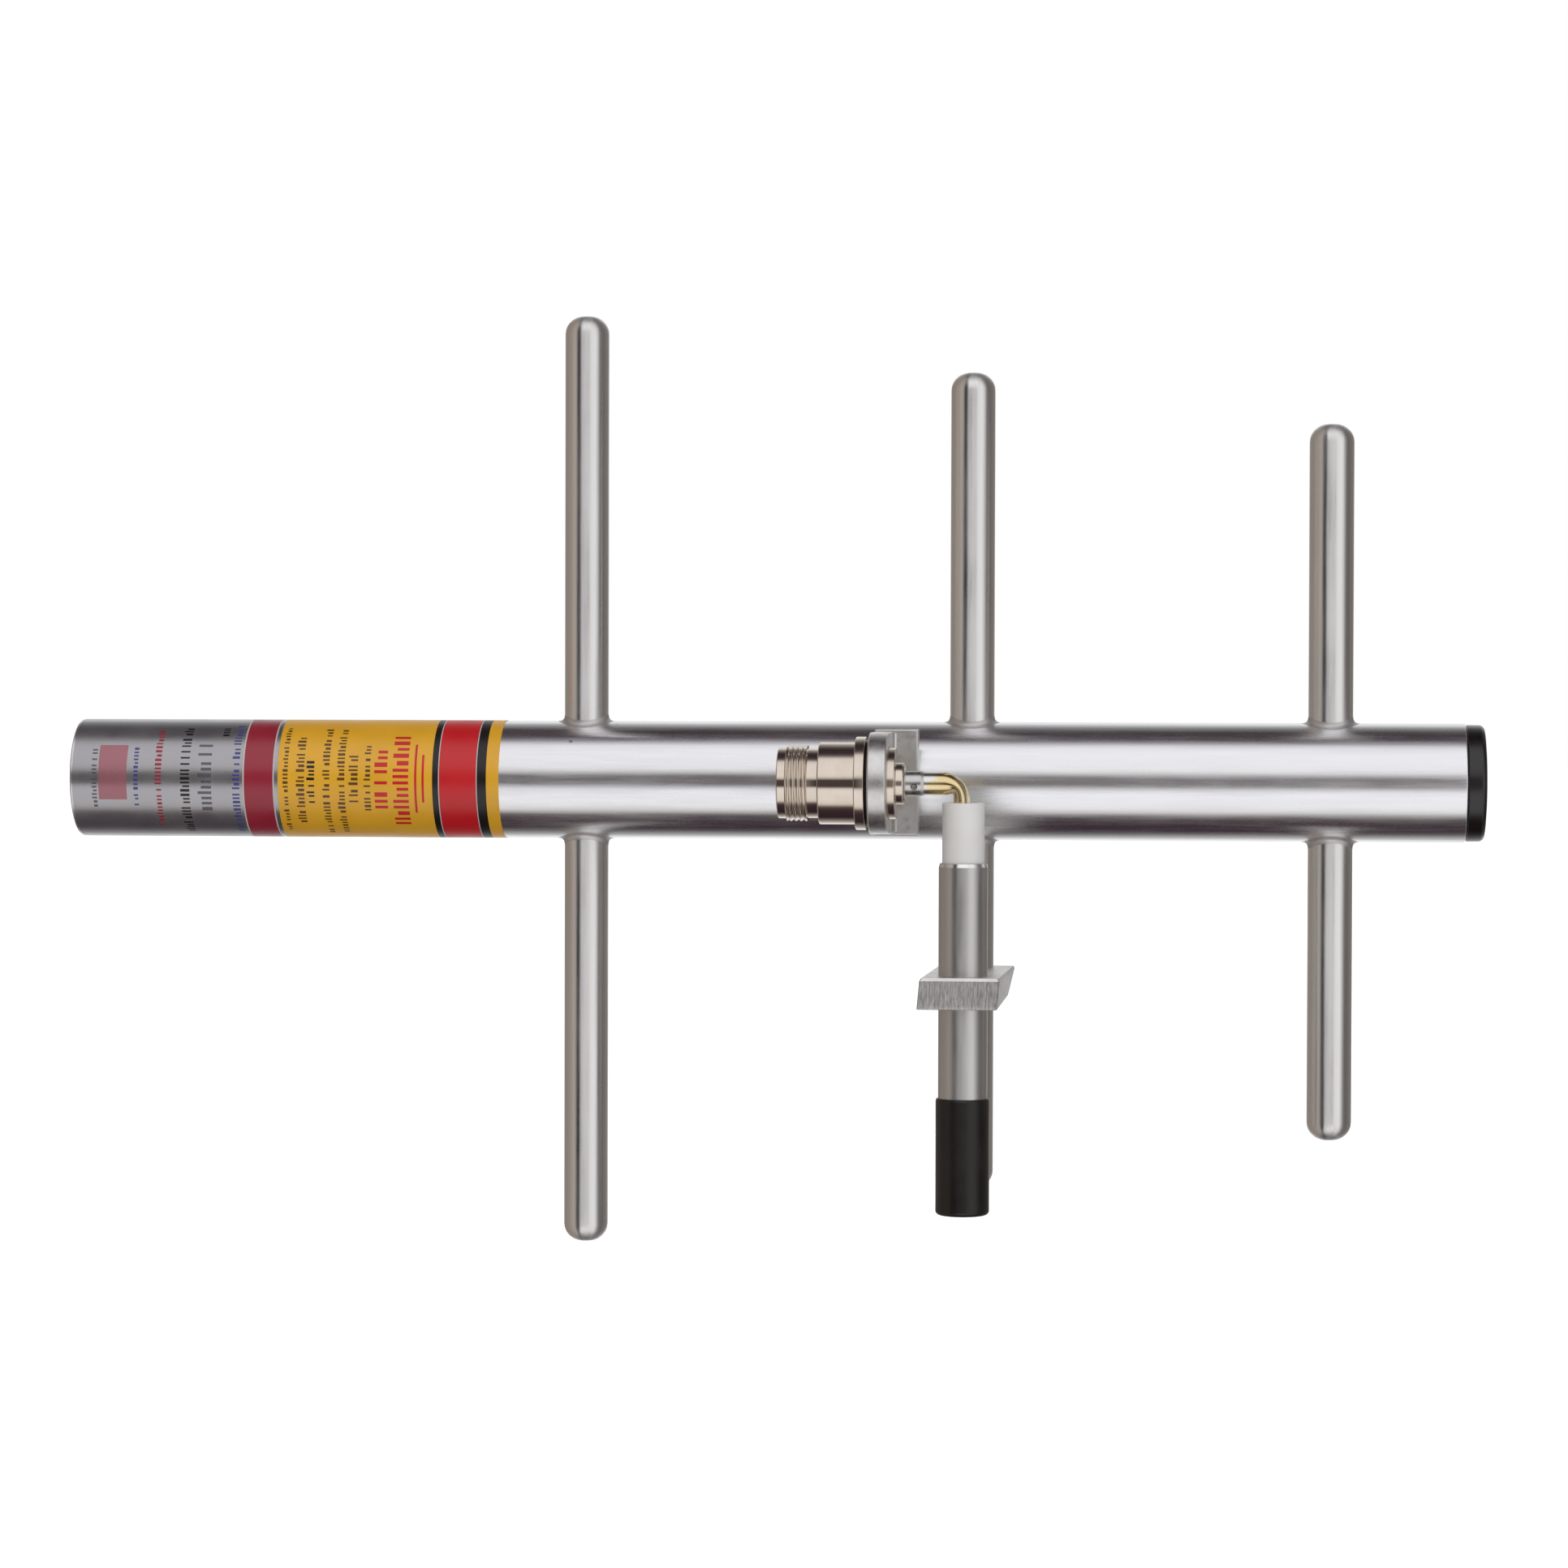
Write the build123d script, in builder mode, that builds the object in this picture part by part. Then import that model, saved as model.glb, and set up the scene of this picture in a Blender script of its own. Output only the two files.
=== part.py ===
"""Three-element welded yagi antenna with a gamma match and an N-type jack.

Frame: the boom lies along +X, the elements stand along Z, the gamma match hangs on the -Y side.
The origin is on the boom's axis, at its rear end. Millimetres.
"""

import os

from build123d import *

# Boom
BOOM_OD = 25.4
BOOM_WALL = 3.175
BOOM_LENGTH = 300.0
BOOM_R = BOOM_OD / 2
BOOM_BORE_R = BOOM_R - BOOM_WALL

# Elements, from the rear of the boom to its front
ELEMENT_D = 9.525
ELEMENT_R = ELEMENT_D / 2
ELEMENT_END_RADIUS = 4.6
ELEMENT_HOLE_R = ELEMENT_R + 0.03
REFLECTOR_X = 111.3
REFLECTOR_LENGTH = 200.5
DRIVEN_X = 195.0
DRIVEN_LENGTH = 175.5
DIRECTOR_X = 271.6
DIRECTOR_LENGTH = 153.0
WELD_LEG = 1.6

# End closures of the boom
CAP_HEAD_LENGTH = 4.5
CAP_HEAD_R = BOOM_R - 0.25
CAP_DOME = 0.6
CAP_EDGE_RADIUS = 1.2
PLUG_DEPTH = 14.0
PLUG_WALL = 1.8
PLUG_CORE_R = BOOM_BORE_R - 0.5
PLUG_RIBS = 4

# Axis shared by the connector and the upper end of the gamma rod
GAMMA_Y = -29.0

# Bracket: an angle whose foot is welded to the boom and whose leg carries the connector
LEG_X = 175.0
PLATE = 4.0
LEG_R = 10.7
FOOT_HALF_WIDTH = 11.3
FOOT_END_X = 184.4
FOOT_BACK_Y = -BOOM_R
FOOT_FACE_Y = FOOT_BACK_Y - PLATE
INSIDE_CORNER_RADIUS = 1.0
BRACKET_CHAMFER = 0.5
BRACKET_WELD_ROOT_Z = 5.0
BRACKET_WELD_TOE_Z = 10.7
BRACKET_WELD_THROAT = (-9.1, 9.95)
BRACKET_WELD_BOOM_Y = -6.3
BRACKET_WELD_INSET = 0.8

# N-type jack, from its mouth to its rear collar
MOUTH_X = 155.9
RIM_R = 7.4
THREAD_START_X = 157.75
THREAD_CREST_R = 7.94
THREAD_ROOT_R = 7.3
THREAD_PITCH = 25.4 / 24
THREAD_TURNS = 4
THREAD_CREST = 0.08 * THREAD_PITCH
THREAD_FOOT = 0.45 * THREAD_PITCH
BARREL_X = 164.5
BARREL_R = 8.6
BARREL_CHAMFER = 0.4
FLANGE_X = 172.2
FLANGE_R = 9.75
SHANK_R = 7.5
SHANK_END_X = 180.6
COLLAR_R = 4.4
COLLAR_END_X = 182.5
COLLAR_EDGE_RADIUS = 0.7
SOCKET_R = 4.25
SOCKET_DEPTH = 4.5
SEAT_R = 4.05
SEAT_DEPTH = 9.1
DIELECTRIC_R = 3.5
DIELECTRIC_STEP_X = 178.0
CONTACT_R = 1.52
CONTACT_TIP_DEPTH = 4.9
CONTACT_HOLE_R = 0.85
CONTACT_HOLE_DEPTH = 5.5
CONTACT_SLOT = 0.3
POT_R = 2.64
POT_END_X = 185.8
POT_FLOOR_X = 181.8
SOLDER_HOLE_X = 184.4
SOLDER_HOLE_Z = -0.8
SOLDER_HOLE_R = 0.6
SOLDER_LENGTH = 0.7
GASKET_R = 8.3
GASKET_SECTION_R = 0.55

# Gamma match: its upright part stands slightly behind the driven element's plane
GAMMA_X = DRIVEN_X - 0.35
ROD_R = 2.38
ROD_BEND_RADIUS = 3.4
ROD_END_Z = -66.0
SLEEVE_R = 4.42
SLEEVE_BORE_R = ROD_R + 0.05
SLEEVE_TOP_Z = -4.0
SLEEVE_END_Z = -70.0
TUBE_R = 5.15
TUBE_BORE_R = 4.5
TUBE_TOP_Z = -16.6
TUBE_END_Z = -88.6
TUBE_RIM_CHAMFER = 0.3
GAMMA_CAP_R = 5.7
GAMMA_CAP_TOP_Z = -65.7
GAMMA_CAP_END_Z = -90.2
GAMMA_CAP_EDGE_RADIUS = 1.0

# Tuning clamp: a block sawn out of square, which bridges the driven element and the gamma tube
CLAMP_TOP_Z = -40.2
CLAMP_BOTTOM_Z = -46.8
CLAMP_FRONT_Y = -37.0
CLAMP_BACK_Y = 9.0
CLAMP_FRONT_X = 185.4
CLAMP_BACK_X = 185.8
CLAMP_WIDTH = 16.7
CLAMP_FRONT_LEAN = 0.6
CLAMP_BACK_LEAN = 1.6
CLAMP_CHAMFER = 0.35
RUNNING_GAP = 0.05
SET_SCREW_R = 2.0
SET_SCREW_KEY = 2.0
SET_SCREW_KEY_DEPTH = 1.8
SET_SCREW_CHAMFER = 0.25
ELEMENT_SCREW_X = 187.0
TUBE_SCREW_X = 186.5

# Wrap-around labels
LABEL_THICKNESS = 0.1
GREY_LABEL_X = (0.6, 45.8)
YELLOW_LABEL_X = (45.8, 93.9)

# Distance within which an edge counts as lying at a given place
TOUCH = 0.01

ALONG_BOOM = Axis((0, 0, 0), (1, 0, 0))
CONNECTOR_AXIS = Axis((0, GAMMA_Y, 0), (1, 0, 0))
BOOM_PROFILE = Plane(origin=(0, 0, 0), x_dir=(1, 0, 0), z_dir=(0, -1, 0))
CONNECTOR_PROFILE = Plane(origin=(0, GAMMA_Y, 0), x_dir=(1, 0, 0), z_dir=(0, -1, 0))

os.makedirs("parts", exist_ok=True)


def save(builder, name):
    """Label a finished piece and write it to its own file."""
    builder.part.label = name
    export_step(builder.part, f"parts/{name}.step")


def edges_at(builder, axis, place):
    """The finished edges that lie at one place along an axis."""
    return builder.edges().filter_by_position(axis, place - TOUCH, place + TOUCH)


def annulus(plane, outer, inner):
    """Sketch a ring on a plane."""
    with BuildSketch(plane) as ring:
        Circle(outer)
        Circle(inner, mode=Mode.SUBTRACT)
    return ring.sketch


# ---------------------------------------------------------------- boom and elements
ELEMENTS = {
    "reflector": (REFLECTOR_X, REFLECTOR_LENGTH),
    "driven": (DRIVEN_X, DRIVEN_LENGTH),
    "director": (DIRECTOR_X, DIRECTOR_LENGTH),
}

with BuildPart() as boom_tube:
    extrude(annulus(Plane.YZ, BOOM_R, BOOM_BORE_R), amount=BOOM_LENGTH)
    with BuildSketch(Plane.XY):
        with Locations([(x, 0) for x, _ in ELEMENTS.values()]):
            Circle(ELEMENT_HOLE_R)
    extrude(amount=BOOM_OD, both=True, mode=Mode.SUBTRACT)
save(boom_tube, "boom_tube")

for element, (x, length) in ELEMENTS.items():
    with BuildPart() as rod:
        with BuildSketch(Plane.XY.offset(-length / 2)):
            with Locations((x, 0)):
                Circle(ELEMENT_R)
        extrude(amount=length)
        fillet(rod.edges().filter_by(GeomType.CIRCLE), ELEMENT_END_RADIUS)
    save(rod, f"{element}_element")

    with BuildPart() as welds:
        with BuildSketch(Plane.YZ.offset(x - BOOM_OD)):
            Circle(BOOM_R)
        extrude(amount=2 * BOOM_OD)
        with BuildSketch(Plane.XY.offset(-BOOM_OD)):
            with Locations((x, 0)):
                Circle(ELEMENT_R)
        extrude(amount=2 * BOOM_OD)
        fillet(welds.edges().filter_by(GeomType.BSPLINE), WELD_LEG)
        with Locations((x, 0, 0)):
            Cylinder(BOOM_R, 3 * BOOM_OD, rotation=(0, 90, 0), mode=Mode.SUBTRACT)
            Cylinder(ELEMENT_R, 3 * BOOM_OD, mode=Mode.SUBTRACT)
    save(welds, f"{element}_welds")

# ---------------------------------------------------------------- boom ends
cap_front_x = BOOM_LENGTH + CAP_HEAD_LENGTH
cap_shoulder_x = cap_front_x - CAP_DOME
rib_pitch = PLUG_DEPTH / (PLUG_RIBS + 1)

with BuildPart() as front_end_cap:
    with BuildSketch(BOOM_PROFILE):
        with BuildLine():
            TangentArc((cap_front_x, 0), (cap_shoulder_x, CAP_HEAD_R), tangent=(0, 1))
            Line((cap_shoulder_x, CAP_HEAD_R), (BOOM_LENGTH, CAP_HEAD_R))
            Line((BOOM_LENGTH, CAP_HEAD_R), (BOOM_LENGTH, 0))
            Line((BOOM_LENGTH, 0), (cap_front_x, 0))
        make_face()
    revolve(axis=ALONG_BOOM)
    fillet(edges_at(front_end_cap, Axis.X, cap_shoulder_x), CAP_EDGE_RADIUS)
    plug_end = Plane.YZ.offset(BOOM_LENGTH - PLUG_DEPTH)
    extrude(annulus(plug_end, PLUG_CORE_R, PLUG_CORE_R - PLUG_WALL), amount=PLUG_DEPTH)
    for rib in range(PLUG_RIBS):
        rib_plane = plug_end.offset((rib + 0.5) * rib_pitch)
        extrude(annulus(rib_plane, BOOM_BORE_R, PLUG_CORE_R - PLUG_WALL), amount=PLUG_WALL / 2)
save(front_end_cap, "front_end_cap")

with BuildPart() as rear_end_plug:
    with BuildSketch(Plane.YZ):
        Circle(BOOM_BORE_R)
    extrude(amount=PLUG_DEPTH)
    with BuildSketch(Plane.YZ.offset(PLUG_WALL)):
        Circle(BOOM_BORE_R - PLUG_WALL)
    extrude(amount=PLUG_DEPTH, mode=Mode.SUBTRACT)
save(rear_end_plug, "rear_end_plug")

# ---------------------------------------------------------------- bracket
with BuildPart() as connector_bracket:
    with BuildSketch(Plane.YZ.offset(LEG_X)):
        with Locations((FOOT_BACK_Y, 0)):
            Rectangle(FOOT_BACK_Y - GAMMA_Y, 2 * LEG_R, align=(Align.MAX, Align.CENTER))
        with Locations((GAMMA_Y, 0)):
            Circle(LEG_R)
    extrude(amount=PLATE)
    with BuildSketch(Plane.XY):
        with Locations((LEG_X, FOOT_BACK_Y)):
            Rectangle(FOOT_END_X - LEG_X, PLATE, align=(Align.MIN, Align.MAX))
    extrude(amount=FOOT_HALF_WIDTH, both=True)
    corner_edges = edges_at(connector_bracket, Axis.X, LEG_X + PLATE).filter_by(Axis.Z)
    fillet(corner_edges.sort_by(Axis.Y)[-1], INSIDE_CORNER_RADIUS)
    chamfer(
        connector_bracket.faces().sort_by(Axis.X)[-1].edges().group_by(Axis.Y)[0],
        BRACKET_CHAMFER,
    )
    with BuildSketch(Plane.YZ.offset(LEG_X)):
        with Locations((GAMMA_Y, 0)):
            Circle(SHANK_R)
    extrude(amount=PLATE, mode=Mode.SUBTRACT)
save(connector_bracket, "connector_bracket")

with BuildPart() as bracket_welds:
    with BuildSketch(Plane.YZ.offset(LEG_X + BRACKET_WELD_INSET)):
        with BuildLine():
            ThreePointArc(
                (FOOT_BACK_Y, BRACKET_WELD_TOE_Z),
                BRACKET_WELD_THROAT,
                (BRACKET_WELD_BOOM_Y, BRACKET_WELD_TOE_Z),
            )
            Polyline(
                (BRACKET_WELD_BOOM_Y, BRACKET_WELD_TOE_Z),
                (BRACKET_WELD_BOOM_Y, BRACKET_WELD_ROOT_Z),
                (FOOT_BACK_Y, BRACKET_WELD_ROOT_Z),
                (FOOT_BACK_Y, BRACKET_WELD_TOE_Z),
            )
        make_face()
        Circle(BOOM_R, mode=Mode.SUBTRACT)
    extrude(amount=FOOT_END_X - LEG_X - 2 * BRACKET_WELD_INSET)
    mirror(about=Plane.XY)
save(bracket_welds, "bracket_welds")

# ---------------------------------------------------------------- connector
with BuildPart() as connector_body:
    with BuildSketch(CONNECTOR_PROFILE):
        with BuildLine():
            outline = [(MOUTH_X, SOCKET_R), (MOUTH_X, RIM_R), (THREAD_START_X, RIM_R)]
            for turn in range(THREAD_TURNS):
                middle = THREAD_START_X + (turn + 0.5) * THREAD_PITCH
                outline += [
                    (middle - THREAD_FOOT, THREAD_ROOT_R),
                    (middle - THREAD_CREST, THREAD_CREST_R),
                    (middle + THREAD_CREST, THREAD_CREST_R),
                    (middle + THREAD_FOOT, THREAD_ROOT_R),
                ]
            outline += [
                (BARREL_X, THREAD_ROOT_R),
                (BARREL_X, BARREL_R),
                (FLANGE_X, BARREL_R),
                (FLANGE_X, FLANGE_R),
                (LEG_X, FLANGE_R),
                (LEG_X, SHANK_R),
                (SHANK_END_X, SHANK_R),
                (SHANK_END_X, COLLAR_R),
                (COLLAR_END_X, COLLAR_R),
                (COLLAR_END_X, DIELECTRIC_R),
                (MOUTH_X + SEAT_DEPTH, DIELECTRIC_R),
                (MOUTH_X + SEAT_DEPTH, SEAT_R),
                (MOUTH_X + SOCKET_DEPTH, SEAT_R),
                (MOUTH_X + SOCKET_DEPTH, SOCKET_R),
            ]
            Polyline(*outline, close=True)
        make_face()
    revolve(axis=CONNECTOR_AXIS)
    collar_edges = edges_at(connector_body, Axis.X, COLLAR_END_X).filter_by(GeomType.CIRCLE)
    fillet(collar_edges.sort_by(SortBy.RADIUS)[-1], COLLAR_EDGE_RADIUS)
    barrel_edges = edges_at(connector_body, Axis.X, BARREL_X).filter_by(GeomType.CIRCLE)
    chamfer(barrel_edges.sort_by(SortBy.RADIUS)[-1], BARREL_CHAMFER)
    gasket_groove = Plane.YZ.offset(LEG_X - 2 * GASKET_SECTION_R)
    with BuildSketch(gasket_groove):
        with Locations((GAMMA_Y, 0)):
            Circle(GASKET_R + GASKET_SECTION_R)
            Circle(GASKET_R - GASKET_SECTION_R, mode=Mode.SUBTRACT)
    extrude(amount=2 * GASKET_SECTION_R, mode=Mode.SUBTRACT)
save(connector_body, "connector_body")

with BuildPart() as connector_gasket:
    with BuildSketch(CONNECTOR_PROFILE):
        with Locations((LEG_X - GASKET_SECTION_R, GASKET_R)):
            Circle(GASKET_SECTION_R)
    revolve(axis=CONNECTOR_AXIS)
save(connector_gasket, "connector_gasket")

with BuildPart() as connector_dielectric:
    with BuildSketch(CONNECTOR_PROFILE):
        with BuildLine():
            Polyline(
                (MOUTH_X + SEAT_DEPTH, CONTACT_R),
                (MOUTH_X + SEAT_DEPTH, DIELECTRIC_R),
                (COLLAR_END_X, DIELECTRIC_R),
                (COLLAR_END_X, POT_R),
                (DIELECTRIC_STEP_X, POT_R),
                (DIELECTRIC_STEP_X, CONTACT_R),
                close=True,
            )
        make_face()
    revolve(axis=CONNECTOR_AXIS)
save(connector_dielectric, "connector_dielectric")

contact_tip_x = MOUTH_X + CONTACT_TIP_DEPTH
with BuildPart() as connector_center_contact:
    with BuildSketch(CONNECTOR_PROFILE):
        with BuildLine():
            Polyline(
                (contact_tip_x, CONTACT_HOLE_R),
                (contact_tip_x, CONTACT_R),
                (DIELECTRIC_STEP_X, CONTACT_R),
                (DIELECTRIC_STEP_X, POT_R),
                (POT_END_X, POT_R),
                (POT_END_X, ROD_R),
                (POT_FLOOR_X, ROD_R),
                (POT_FLOOR_X, 0),
                (contact_tip_x + CONTACT_HOLE_DEPTH, 0),
                (contact_tip_x + CONTACT_HOLE_DEPTH, CONTACT_HOLE_R),
                close=True,
            )
        make_face()
    revolve(axis=CONNECTOR_AXIS)
    with BuildSketch(Plane.YZ.offset(contact_tip_x)):
        with Locations((GAMMA_Y, 0)):
            Rectangle(3 * CONTACT_R, CONTACT_SLOT)
            Rectangle(CONTACT_SLOT, 3 * CONTACT_R)
    extrude(amount=MOUTH_X + SEAT_DEPTH - contact_tip_x, mode=Mode.SUBTRACT)
    with BuildSketch(Plane.XZ.offset(-GAMMA_Y)):
        with Locations((SOLDER_HOLE_X, SOLDER_HOLE_Z)):
            Circle(SOLDER_HOLE_R)
    extrude(amount=2 * POT_R, mode=Mode.SUBTRACT)
save(connector_center_contact, "connector_center_contact")

with BuildPart() as solder_joint:
    with BuildSketch(CONNECTOR_PROFILE):
        with BuildLine():
            Polyline(
                (POT_END_X, ROD_R),
                (POT_END_X, POT_R),
                (POT_END_X + SOLDER_LENGTH, ROD_R),
                close=True,
            )
        make_face()
    revolve(axis=CONNECTOR_AXIS)
save(solder_joint, "solder_joint")

# ---------------------------------------------------------------- gamma match
with BuildPart() as gamma_rod:
    with BuildLine() as rod_path:
        FilletPolyline(
            (POT_FLOOR_X, GAMMA_Y, 0),
            (GAMMA_X, GAMMA_Y, 0),
            (GAMMA_X, GAMMA_Y, ROD_END_Z),
            radius=ROD_BEND_RADIUS,
        )
    with BuildSketch(Plane(origin=rod_path.line @ 0, z_dir=rod_path.line % 0)):
        Circle(ROD_R)
    sweep(path=rod_path.line)
save(gamma_rod, "gamma_rod")

gamma_origin = Plane(origin=(GAMMA_X, GAMMA_Y, 0))

with BuildPart() as ptfe_sleeve:
    sleeve_end = gamma_origin.offset(SLEEVE_END_Z)
    extrude(annulus(sleeve_end, SLEEVE_R, SLEEVE_BORE_R), amount=SLEEVE_TOP_Z - SLEEVE_END_Z)
save(ptfe_sleeve, "ptfe_sleeve")

with BuildPart() as gamma_tube:
    tube_end = gamma_origin.offset(TUBE_END_Z)
    extrude(annulus(tube_end, TUBE_R, TUBE_BORE_R), amount=TUBE_TOP_Z - TUBE_END_Z)
    chamfer(gamma_tube.faces().sort_by(Axis.Z)[-1].edges(), TUBE_RIM_CHAMFER)
save(gamma_tube, "gamma_tube")

with BuildPart() as gamma_end_cap:
    with BuildSketch(gamma_origin.offset(GAMMA_CAP_END_Z)):
        Circle(GAMMA_CAP_R)
    extrude(amount=GAMMA_CAP_TOP_Z - GAMMA_CAP_END_Z)
    fillet(gamma_end_cap.faces().sort_by(Axis.Z)[0].edges(), GAMMA_CAP_EDGE_RADIUS)
    with BuildSketch(gamma_origin.offset(TUBE_END_Z)):
        Circle(TUBE_R)
    extrude(amount=GAMMA_CAP_TOP_Z - TUBE_END_Z, mode=Mode.SUBTRACT)
save(gamma_end_cap, "gamma_end_cap")

# ---------------------------------------------------------------- tuning clamp
clamp_height = CLAMP_TOP_Z - CLAMP_BOTTOM_Z
clamp_bottom = Plane.XY.offset(CLAMP_BOTTOM_Z)
screw_z = CLAMP_BOTTOM_Z + clamp_height / 2


def clamp_face(y, start_x, lean):
    """Sketch one end face of the clamp: a leaning four-sided outline at a distance along Y."""
    with BuildSketch(Plane.XZ.offset(-y)) as face:
        Polygon(
            (start_x, CLAMP_BOTTOM_Z),
            (start_x + CLAMP_WIDTH, CLAMP_BOTTOM_Z),
            (start_x + CLAMP_WIDTH + lean, CLAMP_TOP_Z),
            (start_x + lean, CLAMP_TOP_Z),
            align=None,
        )
    return face.sketch


SET_SCREWS = {
    "element_set_screw": (0, ELEMENT_SCREW_X, DRIVEN_X - ELEMENT_R),
    "tube_set_screw": (GAMMA_Y, TUBE_SCREW_X, GAMMA_X - TUBE_R),
}

with BuildPart() as tuning_clamp:
    loft(
        [
            clamp_face(CLAMP_FRONT_Y, CLAMP_FRONT_X, CLAMP_FRONT_LEAN),
            clamp_face(CLAMP_BACK_Y, CLAMP_BACK_X, CLAMP_BACK_LEAN),
        ],
        ruled=True,
    )
    chamfer(tuning_clamp.edges(), CLAMP_CHAMFER)
    with BuildSketch(clamp_bottom):
        with Locations((DRIVEN_X, 0)):
            Circle(ELEMENT_R + RUNNING_GAP)
        with Locations((GAMMA_X, GAMMA_Y)):
            Circle(TUBE_R + RUNNING_GAP)
    extrude(amount=clamp_height, mode=Mode.SUBTRACT)
    for y, _, reach_x in SET_SCREWS.values():
        with BuildSketch(Plane.YZ.offset(CLAMP_FRONT_X - CLAMP_CHAMFER)):
            with Locations((y, screw_z)):
                Circle(SET_SCREW_R + RUNNING_GAP)
        extrude(amount=reach_x + CLAMP_CHAMFER - CLAMP_FRONT_X, mode=Mode.SUBTRACT)
save(tuning_clamp, "tuning_clamp")

for screw_name, (y, start_x, reach_x) in SET_SCREWS.items():
    screw_head = Plane(origin=(start_x, y, screw_z), x_dir=(0, 1, 0), z_dir=(1, 0, 0))
    with BuildPart() as set_screw:
        with BuildSketch(screw_head):
            Circle(SET_SCREW_R)
        extrude(amount=reach_x - 2 * RUNNING_GAP - start_x)
        chamfer(set_screw.edges().filter_by(GeomType.CIRCLE), SET_SCREW_CHAMFER)
        with BuildSketch(screw_head):
            RegularPolygon(SET_SCREW_KEY / 2, 6, major_radius=False)
        extrude(amount=SET_SCREW_KEY_DEPTH, mode=Mode.SUBTRACT)
    save(set_screw, screw_name)

# ---------------------------------------------------------------- labels
for label_name, (label_start, label_end) in {
    "grey_label": GREY_LABEL_X,
    "yellow_label": YELLOW_LABEL_X,
}.items():
    with BuildPart() as wrap:
        label_ring = annulus(Plane.YZ.offset(label_start), BOOM_R + LABEL_THICKNESS, BOOM_R)
        extrude(label_ring, amount=label_end - label_start)
    save(wrap, label_name)
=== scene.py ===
"""Looks for the three-element yagi antenna: boom along +X, elements along Z, gamma match on the -Y side.

Lengths in this script are millimetres, turned into metres when a mesh is made.
"""

import math

import bmesh
import bpy
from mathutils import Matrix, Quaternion, Vector, noise


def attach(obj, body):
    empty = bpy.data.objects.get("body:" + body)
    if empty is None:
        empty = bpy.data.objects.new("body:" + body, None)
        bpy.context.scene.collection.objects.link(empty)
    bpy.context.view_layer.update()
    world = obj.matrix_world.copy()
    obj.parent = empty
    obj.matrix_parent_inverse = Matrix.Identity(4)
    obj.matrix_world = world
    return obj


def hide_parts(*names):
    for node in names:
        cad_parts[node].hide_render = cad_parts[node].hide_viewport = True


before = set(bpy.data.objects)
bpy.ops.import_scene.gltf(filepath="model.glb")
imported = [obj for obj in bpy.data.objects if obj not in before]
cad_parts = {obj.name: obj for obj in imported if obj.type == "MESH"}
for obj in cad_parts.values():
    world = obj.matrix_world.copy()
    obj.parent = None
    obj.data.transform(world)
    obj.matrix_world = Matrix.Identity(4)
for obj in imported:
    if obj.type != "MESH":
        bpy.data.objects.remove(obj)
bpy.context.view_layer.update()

MM = 0.001
TAU = 2 * math.pi

# ---------------------------------------------------------------- dimensions
BOOM_R = 12.7
BOOM_BORE_R = 9.525
BOOM_LENGTH = 300.0
ELEMENT_R = 4.7625
DRIVEN_X = 195.0
ELEMENTS = {"reflector": (111.3, 200.5), "driven": (DRIVEN_X, 175.5), "director": (271.6, 153.0)}
ELEMENT_END_RADIUS = 3.8
WELD_LEG = 1.6
CAP_FRONT_X = 304.5
CAP_R = 12.44
CAP_PLUG_END_X = 286.0
CAP_BORE_R = 7.25
REAR_PLUG_DEPTH = 14.0
GAMMA_Y = -29.0
GAMMA_X = 194.65
LEG_X = 175.0
PLATE = 4.0
LEG_R = 10.7
FOOT_HALF_WIDTH = 11.3
FOOT_END_X = 184.4
FOOT_BACK_Y = -12.7
FOOT_FACE_Y = -16.7
SHANK_R = 7.5
MOUTH_X = 155.9
SOCKET_R = 4.25
RIM_R = 7.4
THREAD = (157.8, 162.1)
THREAD_R = 7.94
THREAD_PITCH = 25.4 / 24
NECK_R = 7.3
BARREL_X = 164.5
BARREL_R = 8.6
FLANGE_X = 172.2
FLANGE_R = 9.75
FLANGE_END_X = 174.35
COLLAR_X = 180.6
COLLAR_R = 4.4
JACK_END_X = 182.5
JACK_BORE_R = 3.5
INSULATOR_X = 165.0
CONTACT_R = 1.52
CONTACT_SHOULDER_X = 178.0
POT_R = 2.64
POT_END_X = 185.8
CLAMP_TOP_Z = -40.2
CLAMP_BOTTOM_Z = -46.8
CLAMP_Y = (-37.0, 9.0)
CLAMP_START_X = (185.4, 185.8)
CLAMP_WIDTH = 16.7
CLAMP_LEAN = (0.6, 1.6)
CLAMP_EASE = 0.22
CLAMP_CHAMFER = 0.62
SCREW_Z = -43.5
SCREW_HOLE_R = 2.05
SCREW_PITCH = 0.7
ELEMENT_SCREW_X = 187.0
TUBE_SCREW_X = 186.5
ROD_R = 2.38
ROD_START_X = 181.82
ROD_END_Z = -66.0
BEND_X = 190.2
BEND_Z = -3.5
SLEEVE_R = 4.42
SLEEVE_BORE_R = 2.44
SLEEVE_Z = (-70.0, -4.0)
TUBE_R = 5.15
TUBE_BORE_R = 4.5
TUBE_Z = (-88.6, -16.6)
DIP_R = 5.65
DIP_Z = (-90.2, -65.7)


# ---------------------------------------------------------------- mesh tools
def arc_corner(before, corner, after, radius):
    """Points of the arc that rounds one corner of a flat outline."""
    p, a, b = Vector(corner), Vector(before), Vector(after)
    u, v = (a - p).normalized(), (b - p).normalized()
    opening = u.angle(v)
    reach = radius / math.tan(opening / 2)
    centre = p + (u + v).normalized() * (radius / math.sin(opening / 2))
    start, end = p + u * reach - centre, p + v * reach - centre
    turn = math.pi - opening
    steps = max(2, math.ceil(math.degrees(turn) / 14))
    side = 1 if start.x * end.y - start.y * end.x > 0 else -1
    points = []
    for k in range(steps + 1):
        t = side * turn * k / steps
        c, s = math.cos(t), math.sin(t)
        points.append((centre.x + start.x * c - start.y * s, centre.y + start.x * s + start.y * c))
    return points


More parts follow.
